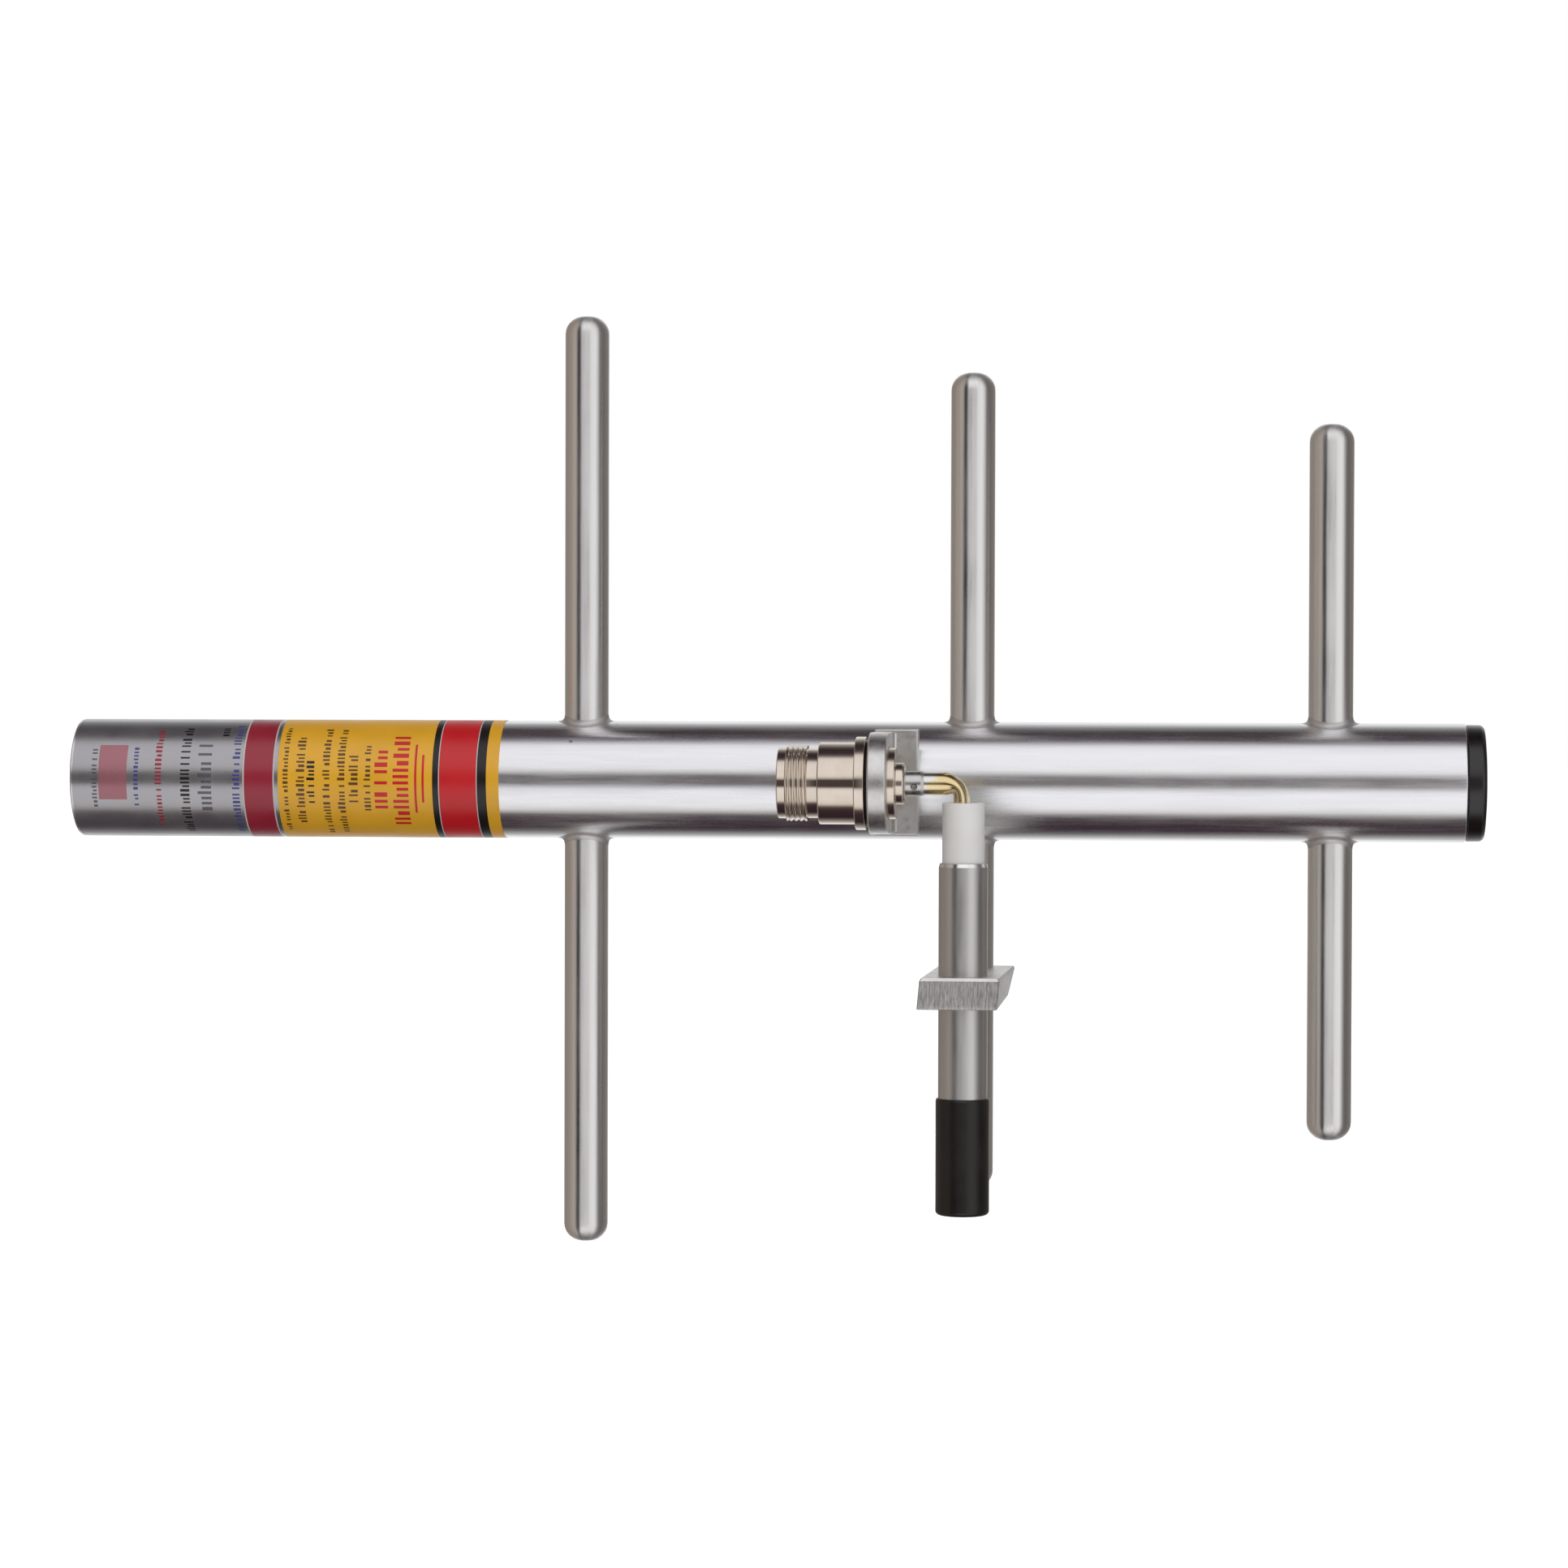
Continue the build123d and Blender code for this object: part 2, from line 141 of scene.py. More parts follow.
def eased(corners, closed=False):
    """An outline through (a, b) or (a, b, radius) corners, those with a radius rounded."""
    points = []
    count = len(corners)
    for i, corner in enumerate(corners):
        inner = closed or 0 < i < count - 1
        if len(corner) == 3 and inner:
            before, after = corners[i - 1][:2], corners[(i + 1) % count][:2]
            points += arc_corner(before, corner[:2], after, corner[2])
        else:
            points.append(tuple(corner[:2]))
    return points


def divided(points, step, low=-1e9, high=1e9, closed=False):
    """The same outline with its long runs between low and high cut to at most step."""
    result = []
    ends = points[1:] + points[:1] if closed else points[1:]
    for (a0, b0), (a1, b1) in zip(points, ends):
        result.append((a0, b0))
        length = math.hypot(a1 - a0, b1 - b0)
        if low <= min(a0, a1) and max(a0, a1) <= high and length > step:
            cuts = math.ceil(length / step)
            result += [(a0 + (a1 - a0) * k / cuts, b0 + (b1 - b0) * k / cuts) for k in range(1, cuts)]
    if not closed:
        result.append(points[-1])
    return result


def loft(rings, closed=False):
    """Vertices and faces of a skin through rings of points; a ring of one point is a pole."""
    verts, starts = [], []
    for ring in rings:
        starts.append(len(verts))
        verts += ring
    faces = []
    pairs = list(zip(range(len(rings)), range(1, len(rings))))
    if closed:
        pairs.append((len(rings) - 1, 0))
    for i, j in pairs:
        a, b, na, nb = starts[i], starts[j], len(rings[i]), len(rings[j])
        count = max(na, nb)
        for k in range(count):
            m = (k + 1) % count
            if na == 1:
                faces.append((a, b + k, b + m))
            elif nb == 1:
                faces.append((a + k, a + m, b))
            else:
                faces.append((a + k, a + m, b + m, b + k))
    return verts, faces


def capped(rings):
    """A skin through rings, with one flat face on its first and one on its last ring."""
    verts, faces = loft(rings)
    count = len(rings[0])
    faces.append(tuple(range(count)))
    faces.append(tuple(range(len(verts) - count, len(verts))))
    return verts, faces


def mesh_piece(name, shape, sharp=32.0):
    """A smooth-shaded object from vertices in millimetres and faces."""
    verts, faces = shape
    mesh = bpy.data.meshes.new(name)
    mesh.from_pydata([tuple(c * MM for c in v) for v in verts], [], faces)
    work = bmesh.new()
    work.from_mesh(mesh)
    bmesh.ops.recalc_face_normals(work, faces=work.faces)
    work.to_mesh(mesh)
    work.free()
    mesh.polygons.foreach_set("use_smooth", [True] * len(mesh.polygons))
    mesh.set_sharp_from_angle(angle=math.radians(sharp))
    piece = bpy.data.objects.new(name, mesh)
    bpy.context.scene.collection.objects.link(piece)
    return piece


def turned(profile, origin, axis="X", segments=128, reach=None, closed=False):
    """A skin turned about an axis through origin; reach can change the radius at a place."""
    rings = []
    for along, radius in profile:
        if radius < 1e-6:
            around = [0.0]
        else:
            around = [TAU * k / segments for k in range(segments)]
        ring = []
        for angle in around:
            r = radius + reach(along, angle, radius) if reach and radius > 1e-6 else radius
            c, s = r * math.cos(angle), r * math.sin(angle)
            if axis == "X":
                ring.append((origin[0] + along, origin[1] + c, origin[2] + s))
            elif axis == "Y":
                ring.append((origin[0] + c, origin[1] + along, origin[2] + s))
            else:
                ring.append((origin[0] + c, origin[1] + s, origin[2] + along))
        rings.append(ring)
    return loft(rings, closed)


def spun(
    name, corners, origin=(0, 0, 0), axis="X", segments=96, reach=None, closed=True, step=None, sharp=32.0
):
    """A turned piece from its outline's corners; step cuts long runs, so that reach shows on them."""
    profile = eased(corners, closed)
    if step:
        profile = divided(profile, step, closed=closed)
    return mesh_piece(name, turned(profile, origin, axis, segments, reach, closed), sharp)


def together(first, second):
    """Two skins as one."""
    shift = len(first[0])
    return first[0] + second[0], first[1] + [tuple(i + shift for i in face) for face in second[1]]


def drawn_curve(start, pull, end):
    """Nine points of a curve from start to end that bends towards pull."""
    shares = [j / 8 for j in range(9)]
    return [start * (1 - u) ** 2 + pull * (2 * u * (1 - u)) + end * u**2 for u in shares]


def rippled(amount, length, around, seed):
    """Slow unevenness of a drawn tube or rod: a radius change by place."""

    def reach(along, angle, radius):
        place = Vector((along / length + seed, around * math.cos(angle), around * math.sin(angle) + seed))
        return amount * noise.noise(place)

    return reach


def rebuilt(piece, weighted=True):
    """The piece with its modifiers made real."""
    if weighted:
        tidy = piece.modifiers.new("even_shading", "WEIGHTED_NORMAL")
        tidy.keep_sharp = True
        tidy.weight = 100
    view = bpy.context.evaluated_depsgraph_get()
    solid = piece.evaluated_get(view)
    mesh = bpy.data.meshes.new_from_object(solid, preserve_all_data_layers=True, depsgraph=view)
    piece.modifiers.clear()
    piece.data = mesh
    mesh.name = piece.name
    return piece


def joined(piece, tool, operation):
    """Adds a tool's volume to the piece, or takes it away; the tool is used up."""
    step = piece.modifiers.new(operation.lower(), "BOOLEAN")
    step.operation = operation
    step.solver = "EXACT"
    step.object = tool
    rebuilt(piece, weighted=False)
    bpy.data.objects.remove(tool)
    return piece


def cut(piece, skin):
    """Takes the volume inside a skin out of the piece."""
    joined(piece, mesh_piece("cutter", skin), "DIFFERENCE")


def shaded(piece, sharp=32.0):
    """Even shading on flat faces beside small rounded edges."""
    piece.data.polygons.foreach_set("use_smooth", [True] * len(piece.data.polygons))
    piece.data.set_sharp_from_angle(angle=math.radians(sharp))
    return rebuilt(piece)


def dressed(piece, material, body, slot, *nodes):
    """Gives a piece its material, the body it rides on and the nodes it stands for; the slot argument is not
    used.
    """
    for paint in material if isinstance(material, (list, tuple)) else [material]:
        piece.data.materials.append(paint)
    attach(piece, body)
    if nodes:
        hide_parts(*nodes)
    return piece


def faced(piece, material, chosen):
    """Gives the chosen faces of a dressed piece another material."""
    piece.data.materials.append(material)
    last = len(piece.data.materials) - 1
    for face in piece.data.polygons:
        if chosen(face):
            face.material_index = last


# ---------------------------------------------------------------- material tools
class Finish:
    """A Principled material under construction."""

    def __init__(self, name, **sockets):
        self.material = bpy.data.materials.new(name)
        self.material.use_nodes = True
        self.tree = self.material.node_tree
        self.shader = self.tree.nodes["Principled BSDF"]
        self.place = self.tree.nodes.new("ShaderNodeTexCoord").outputs["Object"]
        for socket, value in sockets.items():
            self.set(socket.replace("_", " "), value)

    def feed(self, socket, value):
        """Links a node output to a socket, or writes a plain value."""
        if isinstance(value, bpy.types.NodeSocket):
            self.tree.links.new(value, socket)
        elif value is not None:
            if socket.type == "RGBA" and len(value) == 3:
                value = (*value, 1.0)
            socket.default_value = value

    def set(self, socket, value):
        self.feed(self.shader.inputs[socket], value)

    def node(self, kind, inputs, **settings):
        made = self.tree.nodes.new(kind)
        for key, value in settings.items():
            setattr(made, key, value)
        for key, value in inputs.items():
            self.feed(made.inputs[key], value)
        return made

    def math(self, operation, a, b):
        return self.node("ShaderNodeMath", {0: a, 1: b}, operation=operation).outputs[0]

    def stretched(self, scale):
        """Coordinates multiplied by a factor on each axis."""
        made = self.node("ShaderNodeVectorMath", {0: self.place, 1: scale}, operation="MULTIPLY")
        return made.outputs[0]

    def noise(self, scale, stretch=(1, 1, 1), detail=3.0, roughness=0.5):
        """Noise of a scale per metre, from 0 to 1, stretched by axis."""
        vector = self.stretched(tuple(scale * s for s in stretch))
        inputs = {"Vector": vector, "Scale": 1.0, "Detail": detail, "Roughness": roughness}
        return self.node("ShaderNodeTexNoise", inputs).outputs["Fac"]

    def cells(self, scale):
        """Distance to the nearest of scattered points, a number of them per metre."""
        inputs = {"Vector": self.stretched((scale, scale, scale)), "Scale": 1.0, "Randomness": 1.0}
        return self.node("ShaderNodeTexVoronoi", inputs).outputs["Distance"]

    def range(self, value, low, high, to_low=0.0, to_high=1.0):
        inputs = {"Value": value, 1: low, 2: high, 3: to_low, 4: to_high}
        return self.node("ShaderNodeMapRange", inputs, interpolation_type="SMOOTHSTEP").outputs[0]

    def swing(self, value, low=0.0, high=1.0):
        """Low to high over the middle of a noise."""
        return self.range(value, 0.3, 0.7, low, high)

    def mix(self, factor, a, b):
        made = self.node("ShaderNodeMix", {}, data_type="RGBA")
        self.feed(made.inputs[0], factor)
        self.feed(made.inputs[6], a)
        self.feed(made.inputs[7], b)
        return made.outputs[2]

    def coat(self, colour, roughness, normal):
        self.set("Base Color", colour)
        self.set("Roughness", roughness)
        self.set("Normal", normal)
        return self.material

    def bump(self, height, depth, under=None):
        """Relief of a depth in millimetres over a 0 to 1 height."""
        made = self.node("ShaderNodeBump", {"Height": height, "Distance": depth * MM, "Strength": 1.0})
        if under is not None:
            self.feed(made.inputs["Normal"], under)
        return made.outputs["Normal"]


def drawn_metal(name, colour, grain, along, rough=0.3, spread=0.6, marked=0.66, relief=0.0016):
    """Drawn or ground metal: grain is the noise stretch by axis, along the axis of the tangent."""
    paint = Finish(name, Metallic=1.0, Anisotropic=spread, Anisotropic_Rotation=0.25)
    tangent = paint.node("ShaderNodeTangent", {}, direction_type="RADIAL", axis=along)
    paint.set("Tangent", tangent.outputs[0])
    streaks = paint.noise(1.0, grain, detail=4.0, roughness=0.65)
    clouds = paint.noise(55.0, detail=3.0)
    specks = paint.range(paint.cells(95.0), 0.035, 0.06, 1.0, 0.0)
    rare = paint.range(paint.noise(28.0), marked, marked + 0.06)
    marks = paint.math("MULTIPLY", specks, rare)
    tone = paint.mix(paint.swing(clouds), tuple(c * 0.955 for c in colour), colour)
    tone = paint.mix(paint.range(streaks, 0.35, 0.7, 0.10, 0.0), tone, (0.62, 0.60, 0.60))
    fine = paint.swing(streaks, rough - 0.05, rough + 0.05)
    worn = paint.math("ADD", fine, paint.swing(clouds, -0.025, 0.025))
    return paint.coat(
        paint.mix(marks, tone, (0.16, 0.15, 0.16)),
        paint.math("ADD", worn, paint.math("MULTIPLY", marks, 0.3)),
        paint.bump(streaks, relief),
    )


# ---------------------------------------------------------------- materials
boom_metal = drawn_metal(
    "boom_aluminium", (0.905, 0.905, 0.925), (45, 900, 900), "X", rough=0.27, spread=0.6, marked=0.61
)
rod_metal = drawn_metal(
    "rod_aluminium", (0.90, 0.89, 0.875), (900, 900, 40), "Z", rough=0.33, spread=0.9, relief=0.0007
)
gamma_metal = drawn_metal(
    "gamma_aluminium", (0.65, 0.64, 0.625), (900, 900, 60), "Z", rough=0.36, spread=0.4, relief=0.0010
)
cut_metal = drawn_metal(
    "cut_rim_aluminium", (0.95, 0.945, 0.94), (300, 300, 4000), "Z", rough=0.22, spread=0.2, relief=0.0005
)


def cast_metal(name, colour, rough, relief, scale=420.0):
    """Weld metal and mill-finish plate: mottled, fine-grained."""
    paint = Finish(name, Metallic=1.0)
    grain = paint.noise(scale, detail=5.0, roughness=0.6)
    clouds = paint.noise(90.0, detail=3.0)
    tone = paint.mix(paint.swing(clouds), tuple(c * 0.88 for c in colour), colour)
    return paint.coat(
        tone,
        paint.range(grain, 0.25, 0.75, rough - 0.07, rough + 0.07),
        paint.bump(grain, relief),
    )


weld_metal = cast_metal("weld_aluminium", (0.72, 0.70, 0.695), 0.48, 0.003)
bracket_metal = cast_metal("bracket_aluminium", (0.80, 0.79, 0.77), 0.33, 0.007, 700.0)


def sawn_metal():
    """Sawn bar: rows of kerf marks that run across the cut."""
    paint = Finish("clamp_aluminium", Metallic=1.0)
    kerf = paint.noise(1.0, (2900, 2900, 420), detail=4.0, roughness=0.7)
    clouds = paint.noise(260.0, detail=3.0)
    tone = paint.mix(paint.swing(kerf), (0.43, 0.42, 0.405), (0.72, 0.71, 0.69))
    tone = paint.mix(paint.range(clouds, 0.55, 0.75, 0.0, 0.25), tone, (0.5, 0.49, 0.48))
    return paint.coat(tone, paint.swing(kerf, 0.36, 0.52), paint.bump(kerf, 0.026))


clamp_metal = sawn_metal()
bar_metal = cast_metal("bar_aluminium", (0.84, 0.83, 0.81), 0.42, 0.003)


def turned_metal(name, colour, rough, scale=2600.0):
    """Lathe-turned and plated metal: fine rings across the X axis."""
    paint = Finish(name, Metallic=1.0)
    rings = paint.noise(1.0, (scale, 20, 20), detail=3.0, roughness=0.7)
    clouds = paint.noise(240.0, detail=3.0)
    tone = paint.mix(paint.swing(clouds), tuple(c * 0.93 for c in colour), colour)
    tone = paint.mix(paint.range(rings, 0.5, 0.8, 0.0, 0.16), tone, tuple(c * 0.6 for c in colour))
    return paint.coat(tone, paint.swing(clouds, rough * 0.8, rough * 1.3), paint.bump(rings, 0.0008))


nickel = turned_metal("nickel", (0.73, 0.64, 0.545), 0.075)
solder_metal = cast_metal("solder", (0.66, 0.66, 0.65), 0.3, 0.02, 900.0)
screw_steel = turned_metal("screw_steel", (0.50, 0.49, 0.48), 0.3, 5200.0)


def brass():
    """Drawn brass rod with a slight tarnish, silvered by solder where it leaves the pot; a painted highlight
    carries the silver further along the rod's top.
    """
    paint = Finish("brass_rod", Metallic=1.0)
    clouds = paint.noise(160.0, detail=4.0)
    fine = paint.noise(1500.0, detail=3.0)
    edge = paint.noise(420.0, detail=4.0)
    along, _, height = paint.node("ShaderNodeSeparateXYZ", {0: paint.place}).outputs
    solder_highlight_reach = paint.math("ADD", paint.math("MULTIPLY", edge, 0.0022), 0.1860)
    # Painted highlight: on the rod's upper side the silver colour reaches up to 2.4 mm further than
    # underneath.
    solder_highlight_reach = paint.math("ADD", solder_highlight_reach, paint.range(height, -0.0004, 0.0016, 0.0, 0.0024))
    solder_and_highlight = paint.range(paint.math("SUBTRACT", along, solder_highlight_reach), -0.0010, 0.0010, 1.0, 0.0)
    tone = paint.mix(paint.range(clouds, 0.35, 0.7), (0.80, 0.64, 0.34), (0.90, 0.76, 0.46))
    tone = paint.mix(solder_and_highlight, tone, (0.80, 0.79, 0.76))
    return paint.coat(tone, paint.swing(clouds, 0.15, 0.24), paint.bump(fine, 0.0012))


brass_rod = brass()


def moulded(name, colour, rough, relief, specular=0.5):
    """Moulded plastic or rubber with a fine pebbled skin and dusty patches."""
    paint = Finish(name, Specular_IOR_Level=specular)
    pebble = paint.noise(1100.0, detail=4.0, roughness=0.6)
    dust = paint.noise(120.0, detail=4.0, roughness=0.6)
    pale = tuple(c * 1.7 + 0.004 for c in colour)
    return paint.coat(
        paint.mix(paint.range(dust, 0.35, 0.8, 0.0, 0.6), colour, pale),
        paint.swing(dust, rough - 0.05, rough + 0.06),
        paint.bump(pebble, relief),
    )


black_plastic = moulded("black_plastic", (0.007, 0.0055, 0.0055), 0.23, 0.004, specular=0.62)
black_vinyl = moulded("black_vinyl", (0.008, 0.006, 0.005), 0.33, 0.007, specular=0.45)
gasket_rubber = moulded("rubber_gasket", (0.006, 0.005, 0.005), 0.5, 0.006)


def fluoropolymer():
    """White waxy plastic with faint lengthwise extrusion lines."""
    paint = Finish("ptfe", Subsurface_Weight=0.25, Subsurface_Radius=(0.0011, 0.0009, 0.0008))
    paint.set("Subsurface Scale", 1.0)
    lines = paint.noise(1.0, (2200, 2200, 60), detail=3.0)
    clouds = paint.noise(130.0, detail=3.0)
    tone = paint.mix(paint.swing(clouds), (0.86, 0.845, 0.825), (0.90, 0.89, 0.875))
    return paint.coat(tone, paint.swing(lines, 0.40, 0.5), paint.bump(lines, 0.004))


ptfe = fluoropolymer()


def printed(name, colour, rough=0.32, metallic=0.0):
    """Printed film: solid ink with a faint screen grain and handling wear."""
    paint = Finish(name, Metallic=metallic)
    screen = paint.noise(2400.0, detail=2.0)
    clouds = paint.noise(120.0, detail=3.0)
    darker = tuple(c * 0.93 for c in colour)
    tone = paint.mix(paint.swing(clouds), darker, colour)
    tone = paint.mix(paint.swing(screen, 0.0, 0.12), tone, darker)
    return paint.coat(
        tone,
        paint.swing(clouds, rough - 0.04, rough + 0.05),
        paint.bump(clouds, 0.02, paint.bump(screen, 0.003)),
    )


INKS = {
    "silver": printed("film_silver", (0.43, 0.42, 0.435), 0.22, 0.8),
    "yellow": printed("film_yellow", (0.90, 0.47, 0.026)),
    "black": printed("film_black", (0.010, 0.007, 0.006)),
    "red": printed("film_red", (0.66, 0.012, 0.018)),
    "crimson": printed("film_crimson", (0.36, 0.022, 0.045), 0.26),
    "rose": printed("film_rose", (0.42, 0.17, 0.20), 0.26, 0.3),
    "blue": printed("film_blue", (0.055, 0.065, 0.26), 0.26),
    "dim": printed("film_dim", (0.13, 0.125, 0.15), 0.26, 0.3),
    "brown": printed("film_brown", (0.13, 0.06, 0.012)),
    "pale": printed("film_pale", (0.62, 0.60, 0.58)),
}

# ---------------------------------------------------------------- boom and elements
boom_profile = divided(
    eased([(0, BOOM_BORE_R), (0, BOOM_R, 0.3), (BOOM_LENGTH, BOOM_R, 0.3), (BOOM_LENGTH, BOOM_BORE_R)]),
    2.0,
)
boom_wave = rippled(0.018, 34.0, 2.4, 3.0)
boom = mesh_piece(
    "boom_tube_drawn",
    turned(
        boom_profile,
        (0, 0, 0),
        segments=160,
        reach=lambda x, a, r: boom_wave(x, a, r) if r > 12.0 else 0.0,
        closed=True,
    ),
)
dressed(boom, boom_metal, "antenna", "boom_aluminium", "boom_tube")

for index, (element, (x, length)) in enumerate(ELEMENTS.items()):
    half = length / 2
    shoulders = [(-half, ELEMENT_R, ELEMENT_END_RADIUS), (half, ELEMENT_R, ELEMENT_END_RADIUS)]
    corners = [(-half, 0), *shoulders, (half, 0)]
    wave = rippled(0.010, 26.0, 1.6, 11.0 + index)
    rod = spun(f"{element}_rod", corners, (x, 0, 0), "Z", reach=wave, closed=False, step=2.0)
    dressed(rod, rod_metal, "antenna", "rod_aluminium", f"{element}_element")


def weld_bead(x, side, seed):
    """One fillet bead where an element enters the boom: a closed ring with overlapping ripples."""
    rings = []
    steps = 220
    ripples = 26
    for k in range(steps):
        t = TAU * k / steps
        c, s = math.cos(t), math.sin(t)
        leg = WELD_LEG - 0.2 - 0.35 * s * s + 0.08 * noise.noise(Vector((1.5 * c, 1.5 * s, seed)))
        ripple = 0.010 * (1 - abs(math.sin(ripples * t / 2 + 0.7 * math.sin(t + seed))))
        outer = ELEMENT_R + leg
        saddle = math.sqrt(BOOM_R**2 - (ELEMENT_R * s) ** 2)
        saddle_out = math.sqrt(BOOM_R**2 - (outer * s) ** 2)
        top = Vector(((ELEMENT_R + 0.015) * c, (ELEMENT_R + 0.015) * s, saddle + leg))
        toe = Vector((outer * c, outer * s, saddle_out))
        root = Vector((ELEMENT_R * c, ELEMENT_R * s, saddle))
        pull = root * 0.98 + (top + toe) * 0.01
        pull += (toe - root).normalized() * ripple + Vector((0, 0, ripple))
        section = drawn_curve(top, pull, toe)
        inward = Vector((c, s, 0)) * 0.12
        section.append(toe - Vector((0, 0, 0.14)))
        section.append(root - Vector((0, 0, 0.14)) - inward)
        section.append(top - inward)
        rings.append([(x + p.x, p.y, side * p.z) for p in section])
    return loft(rings, closed=True)


for index, (element, (x, length)) in enumerate(ELEMENTS.items()):
    both = together(weld_bead(x, 1, 5.0 + index), weld_bead(x, -1, 15.0 + index))
    bead = mesh_piece(f"{element}_weld_beads", both, sharp=60)
    dressed(bead, weld_metal, "antenna", "weld_aluminium", f"{element}_welds")

# ---------------------------------------------------------------- boom ends
cap_profile = [
    (CAP_FRONT_X, 0),
    (CAP_FRONT_X - 0.04, 5.0),
    (CAP_FRONT_X - 0.25, 9.2),
    (CAP_FRONT_X - 0.55, CAP_R - 0.04, 1.15),
    (BOOM_LENGTH + 0.35, CAP_R, 0.25),
    (BOOM_LENGTH, 12.1),
    (BOOM_LENGTH, 9.2),
]
for rib in range(4):
    start = BOOM_LENGTH - 2.0 - rib * 3.1
    cap_profile += [
        (start, 9.0, 0.15),
        (start - 0.35, 9.5, 0.12),
        (start - 0.95, 9.5, 0.12),
        (start - 1.3, 9.0, 0.15),
    ]
cap_profile += [(CAP_PLUG_END_X, 9.0, 0.3), (CAP_PLUG_END_X, CAP_BORE_R, 0.2)]
cap_profile += [(BOOM_LENGTH - 1.0, CAP_BORE_R, 0.4), (BOOM_LENGTH - 1.0, 0)]
cap = spun("front_cap_moulded", cap_profile, segments=160, closed=False)
dressed(cap, black_plastic, "antenna", "black_plastic", "front_end_cap")

plug_profile = [
    (0.35, 0),
    (0.35, 3.0, 0.2),
    (0.0, 3.3, 0.2),
    (0.0, 9.5, 0.35),
    (REAR_PLUG_DEPTH, 9.5, 0.3),
    (REAR_PLUG_DEPTH, 7.75, 0.3),
    (1.8, 7.75, 0.4),
    (1.8, 0),
]
plug = spun("rear_plug_moulded", plug_profile, segments=128, closed=False)
dressed(plug, black_plastic, "antenna", "black_plastic", "rear_end_plug")


# ---------------------------------------------------------------- labels
def thinned(places):
    """The places in order, without any that lie too near the next one."""
    places = sorted(places)
    return [a for a, b in zip(places, places[1:] + [1e9]) if b - a > 0.02]


def wrap_label(name, span, marks, ground, seed):
    """A film sleeve round the boom whose faces carry flat blocks of ink on the side that shows."""
    outer_r, inner_r = BOOM_R + 0.09, BOOM_R + 0.03
    degree = BOOM_R * TAU / 360
    lines_x = {span[0], span[1]}
    lines_s = {k * 4.0 * degree for k in range(-43, 44)}
    for x0, x1, s0, s1, ink in marks:
        lines_x |= {x0, x1}
        lines_s |= {s0, s1}
    lines_x |= {span[0] + k * 1.5 for k in range(1, int((span[1] - span[0]) / 1.5))}
    merged_x = thinned(lines_x)
    seam_s = [-172.2 * degree, *thinned(lines_s), 172.2 * degree, 176 * degree, 184 * degree]

    def point(x, s, r):
        a = s / BOOM_R
        lift = 0.007 * noise.noise(Vector((x / 7.0, s / 7.0, seed)))
        return (x, -(r + lift) * math.cos(a), (r + lift) * math.sin(a))

    rows_outer, rows_inner = [], []
    for s in seam_s:
        overlap = 0.05 if s > 175 * degree else (0.0 if s < 0 or s < 172 * degree else 0.02)
        rows_outer.append([point(x, s, outer_r + overlap) for x in merged_x])
        rows_inner.append([point(x, s, inner_r + overlap) for x in merged_x])
    count = len(merged_x)
    verts = [p for row in rows_outer for p in row] + [p for row in rows_inner for p in row]
    under = len(rows_outer) * count
    faces, inks = [], []
    last = len(seam_s) - 1
    for i in range(last):
        for j in range(count - 1):
            middle_x = (merged_x[j] + merged_x[j + 1]) / 2
            middle_s = (seam_s[i] + seam_s[i + 1]) / 2
            ink = ground
            for x0, x1, s0, s1, tint in marks:
                if x0 < middle_x < x1 and s0 < middle_s < s1:
                    ink = tint
            a = i * count + j
            faces.append((a, a + 1, a + 1 + count, a + count))
            inks.append(ink)
            faces.append((under + a + count, under + a + 1 + count, under + a + 1, under + a))
            inks.append(ground)
    for i in range(last):
        for j in (0, count - 1):
            a = i * count + j
            faces.append((a, a + count, under + a + count, under + a))
            inks.append(ground)
    for i in (0, last):
        for j in range(count - 1):
            a = i * count + j
            faces.append((a, a + 1, under + a + 1, under + a))
            inks.append(ground)
    piece = mesh_piece(name, (verts, faces), sharp=40)
    used = sorted(set(inks))
    piece.data.polygons.foreach_set("material_index", [used.index(n) for n in inks])
    return piece, [INKS[n] for n in used]


def ticks(x0, x1, s0, s1, ink, seed, cell=0.2):
    """A column of small plain ticks in groups of uneven length, standing in for a line of small print."""
    marks = []
    at, k = round(s0 / cell), 0
    end = round(s1 / cell)
    step = (x1 - x0) * 0.25
    while at < end:
        pick = noise.noise(Vector((k * 1.37, seed, 0.5)))
        wide = 2 if pick < 0.12 else 3
        low = x0 + (step if noise.noise(Vector((k * 1.9, seed, 5.5))) > 0.1 else 0.0)
        marks.append((low, x1, at * cell, min(at + wide, end) * cell, ink))
        k += 1
        at += wide + (5 if noise.noise(Vector((k * 0.71, seed, 9.5))) > 0.25 else 2)
    return marks


FULL_TURN = (-1e3, 1e3)
grey_marks = [
    *ticks(4.9, 6.0, -6.5, 7.0, "dim", 1.0),
    (6.4, 12.6, -4.6, 7.6, "rose"),
    *ticks(14.1, 15.1, -6.0, 7.0, "blue", 2.0),
    *ticks(18.8, 20.2, -11.5, 12.0, "crimson", 3.0),
    *ticks(24.4, 26.4, -14.0, 13.0, "black", 4.0),
    *ticks(28.2, 31.2, -7.2, 8.0, "dim", 7.0, 0.3),
    *ticks(33.0, 34.4, 10.2, 13.0, "black", 5.0),
    *ticks(35.8, 37.4, -14.0, 14.0, "blue", 6.0),
    (38.1, 38.4, *FULL_TURN, "pale"),
    (38.4, 44.7, *FULL_TURN, "crimson"),
    (44.7, 45.0, *FULL_TURN, "pale"),
]
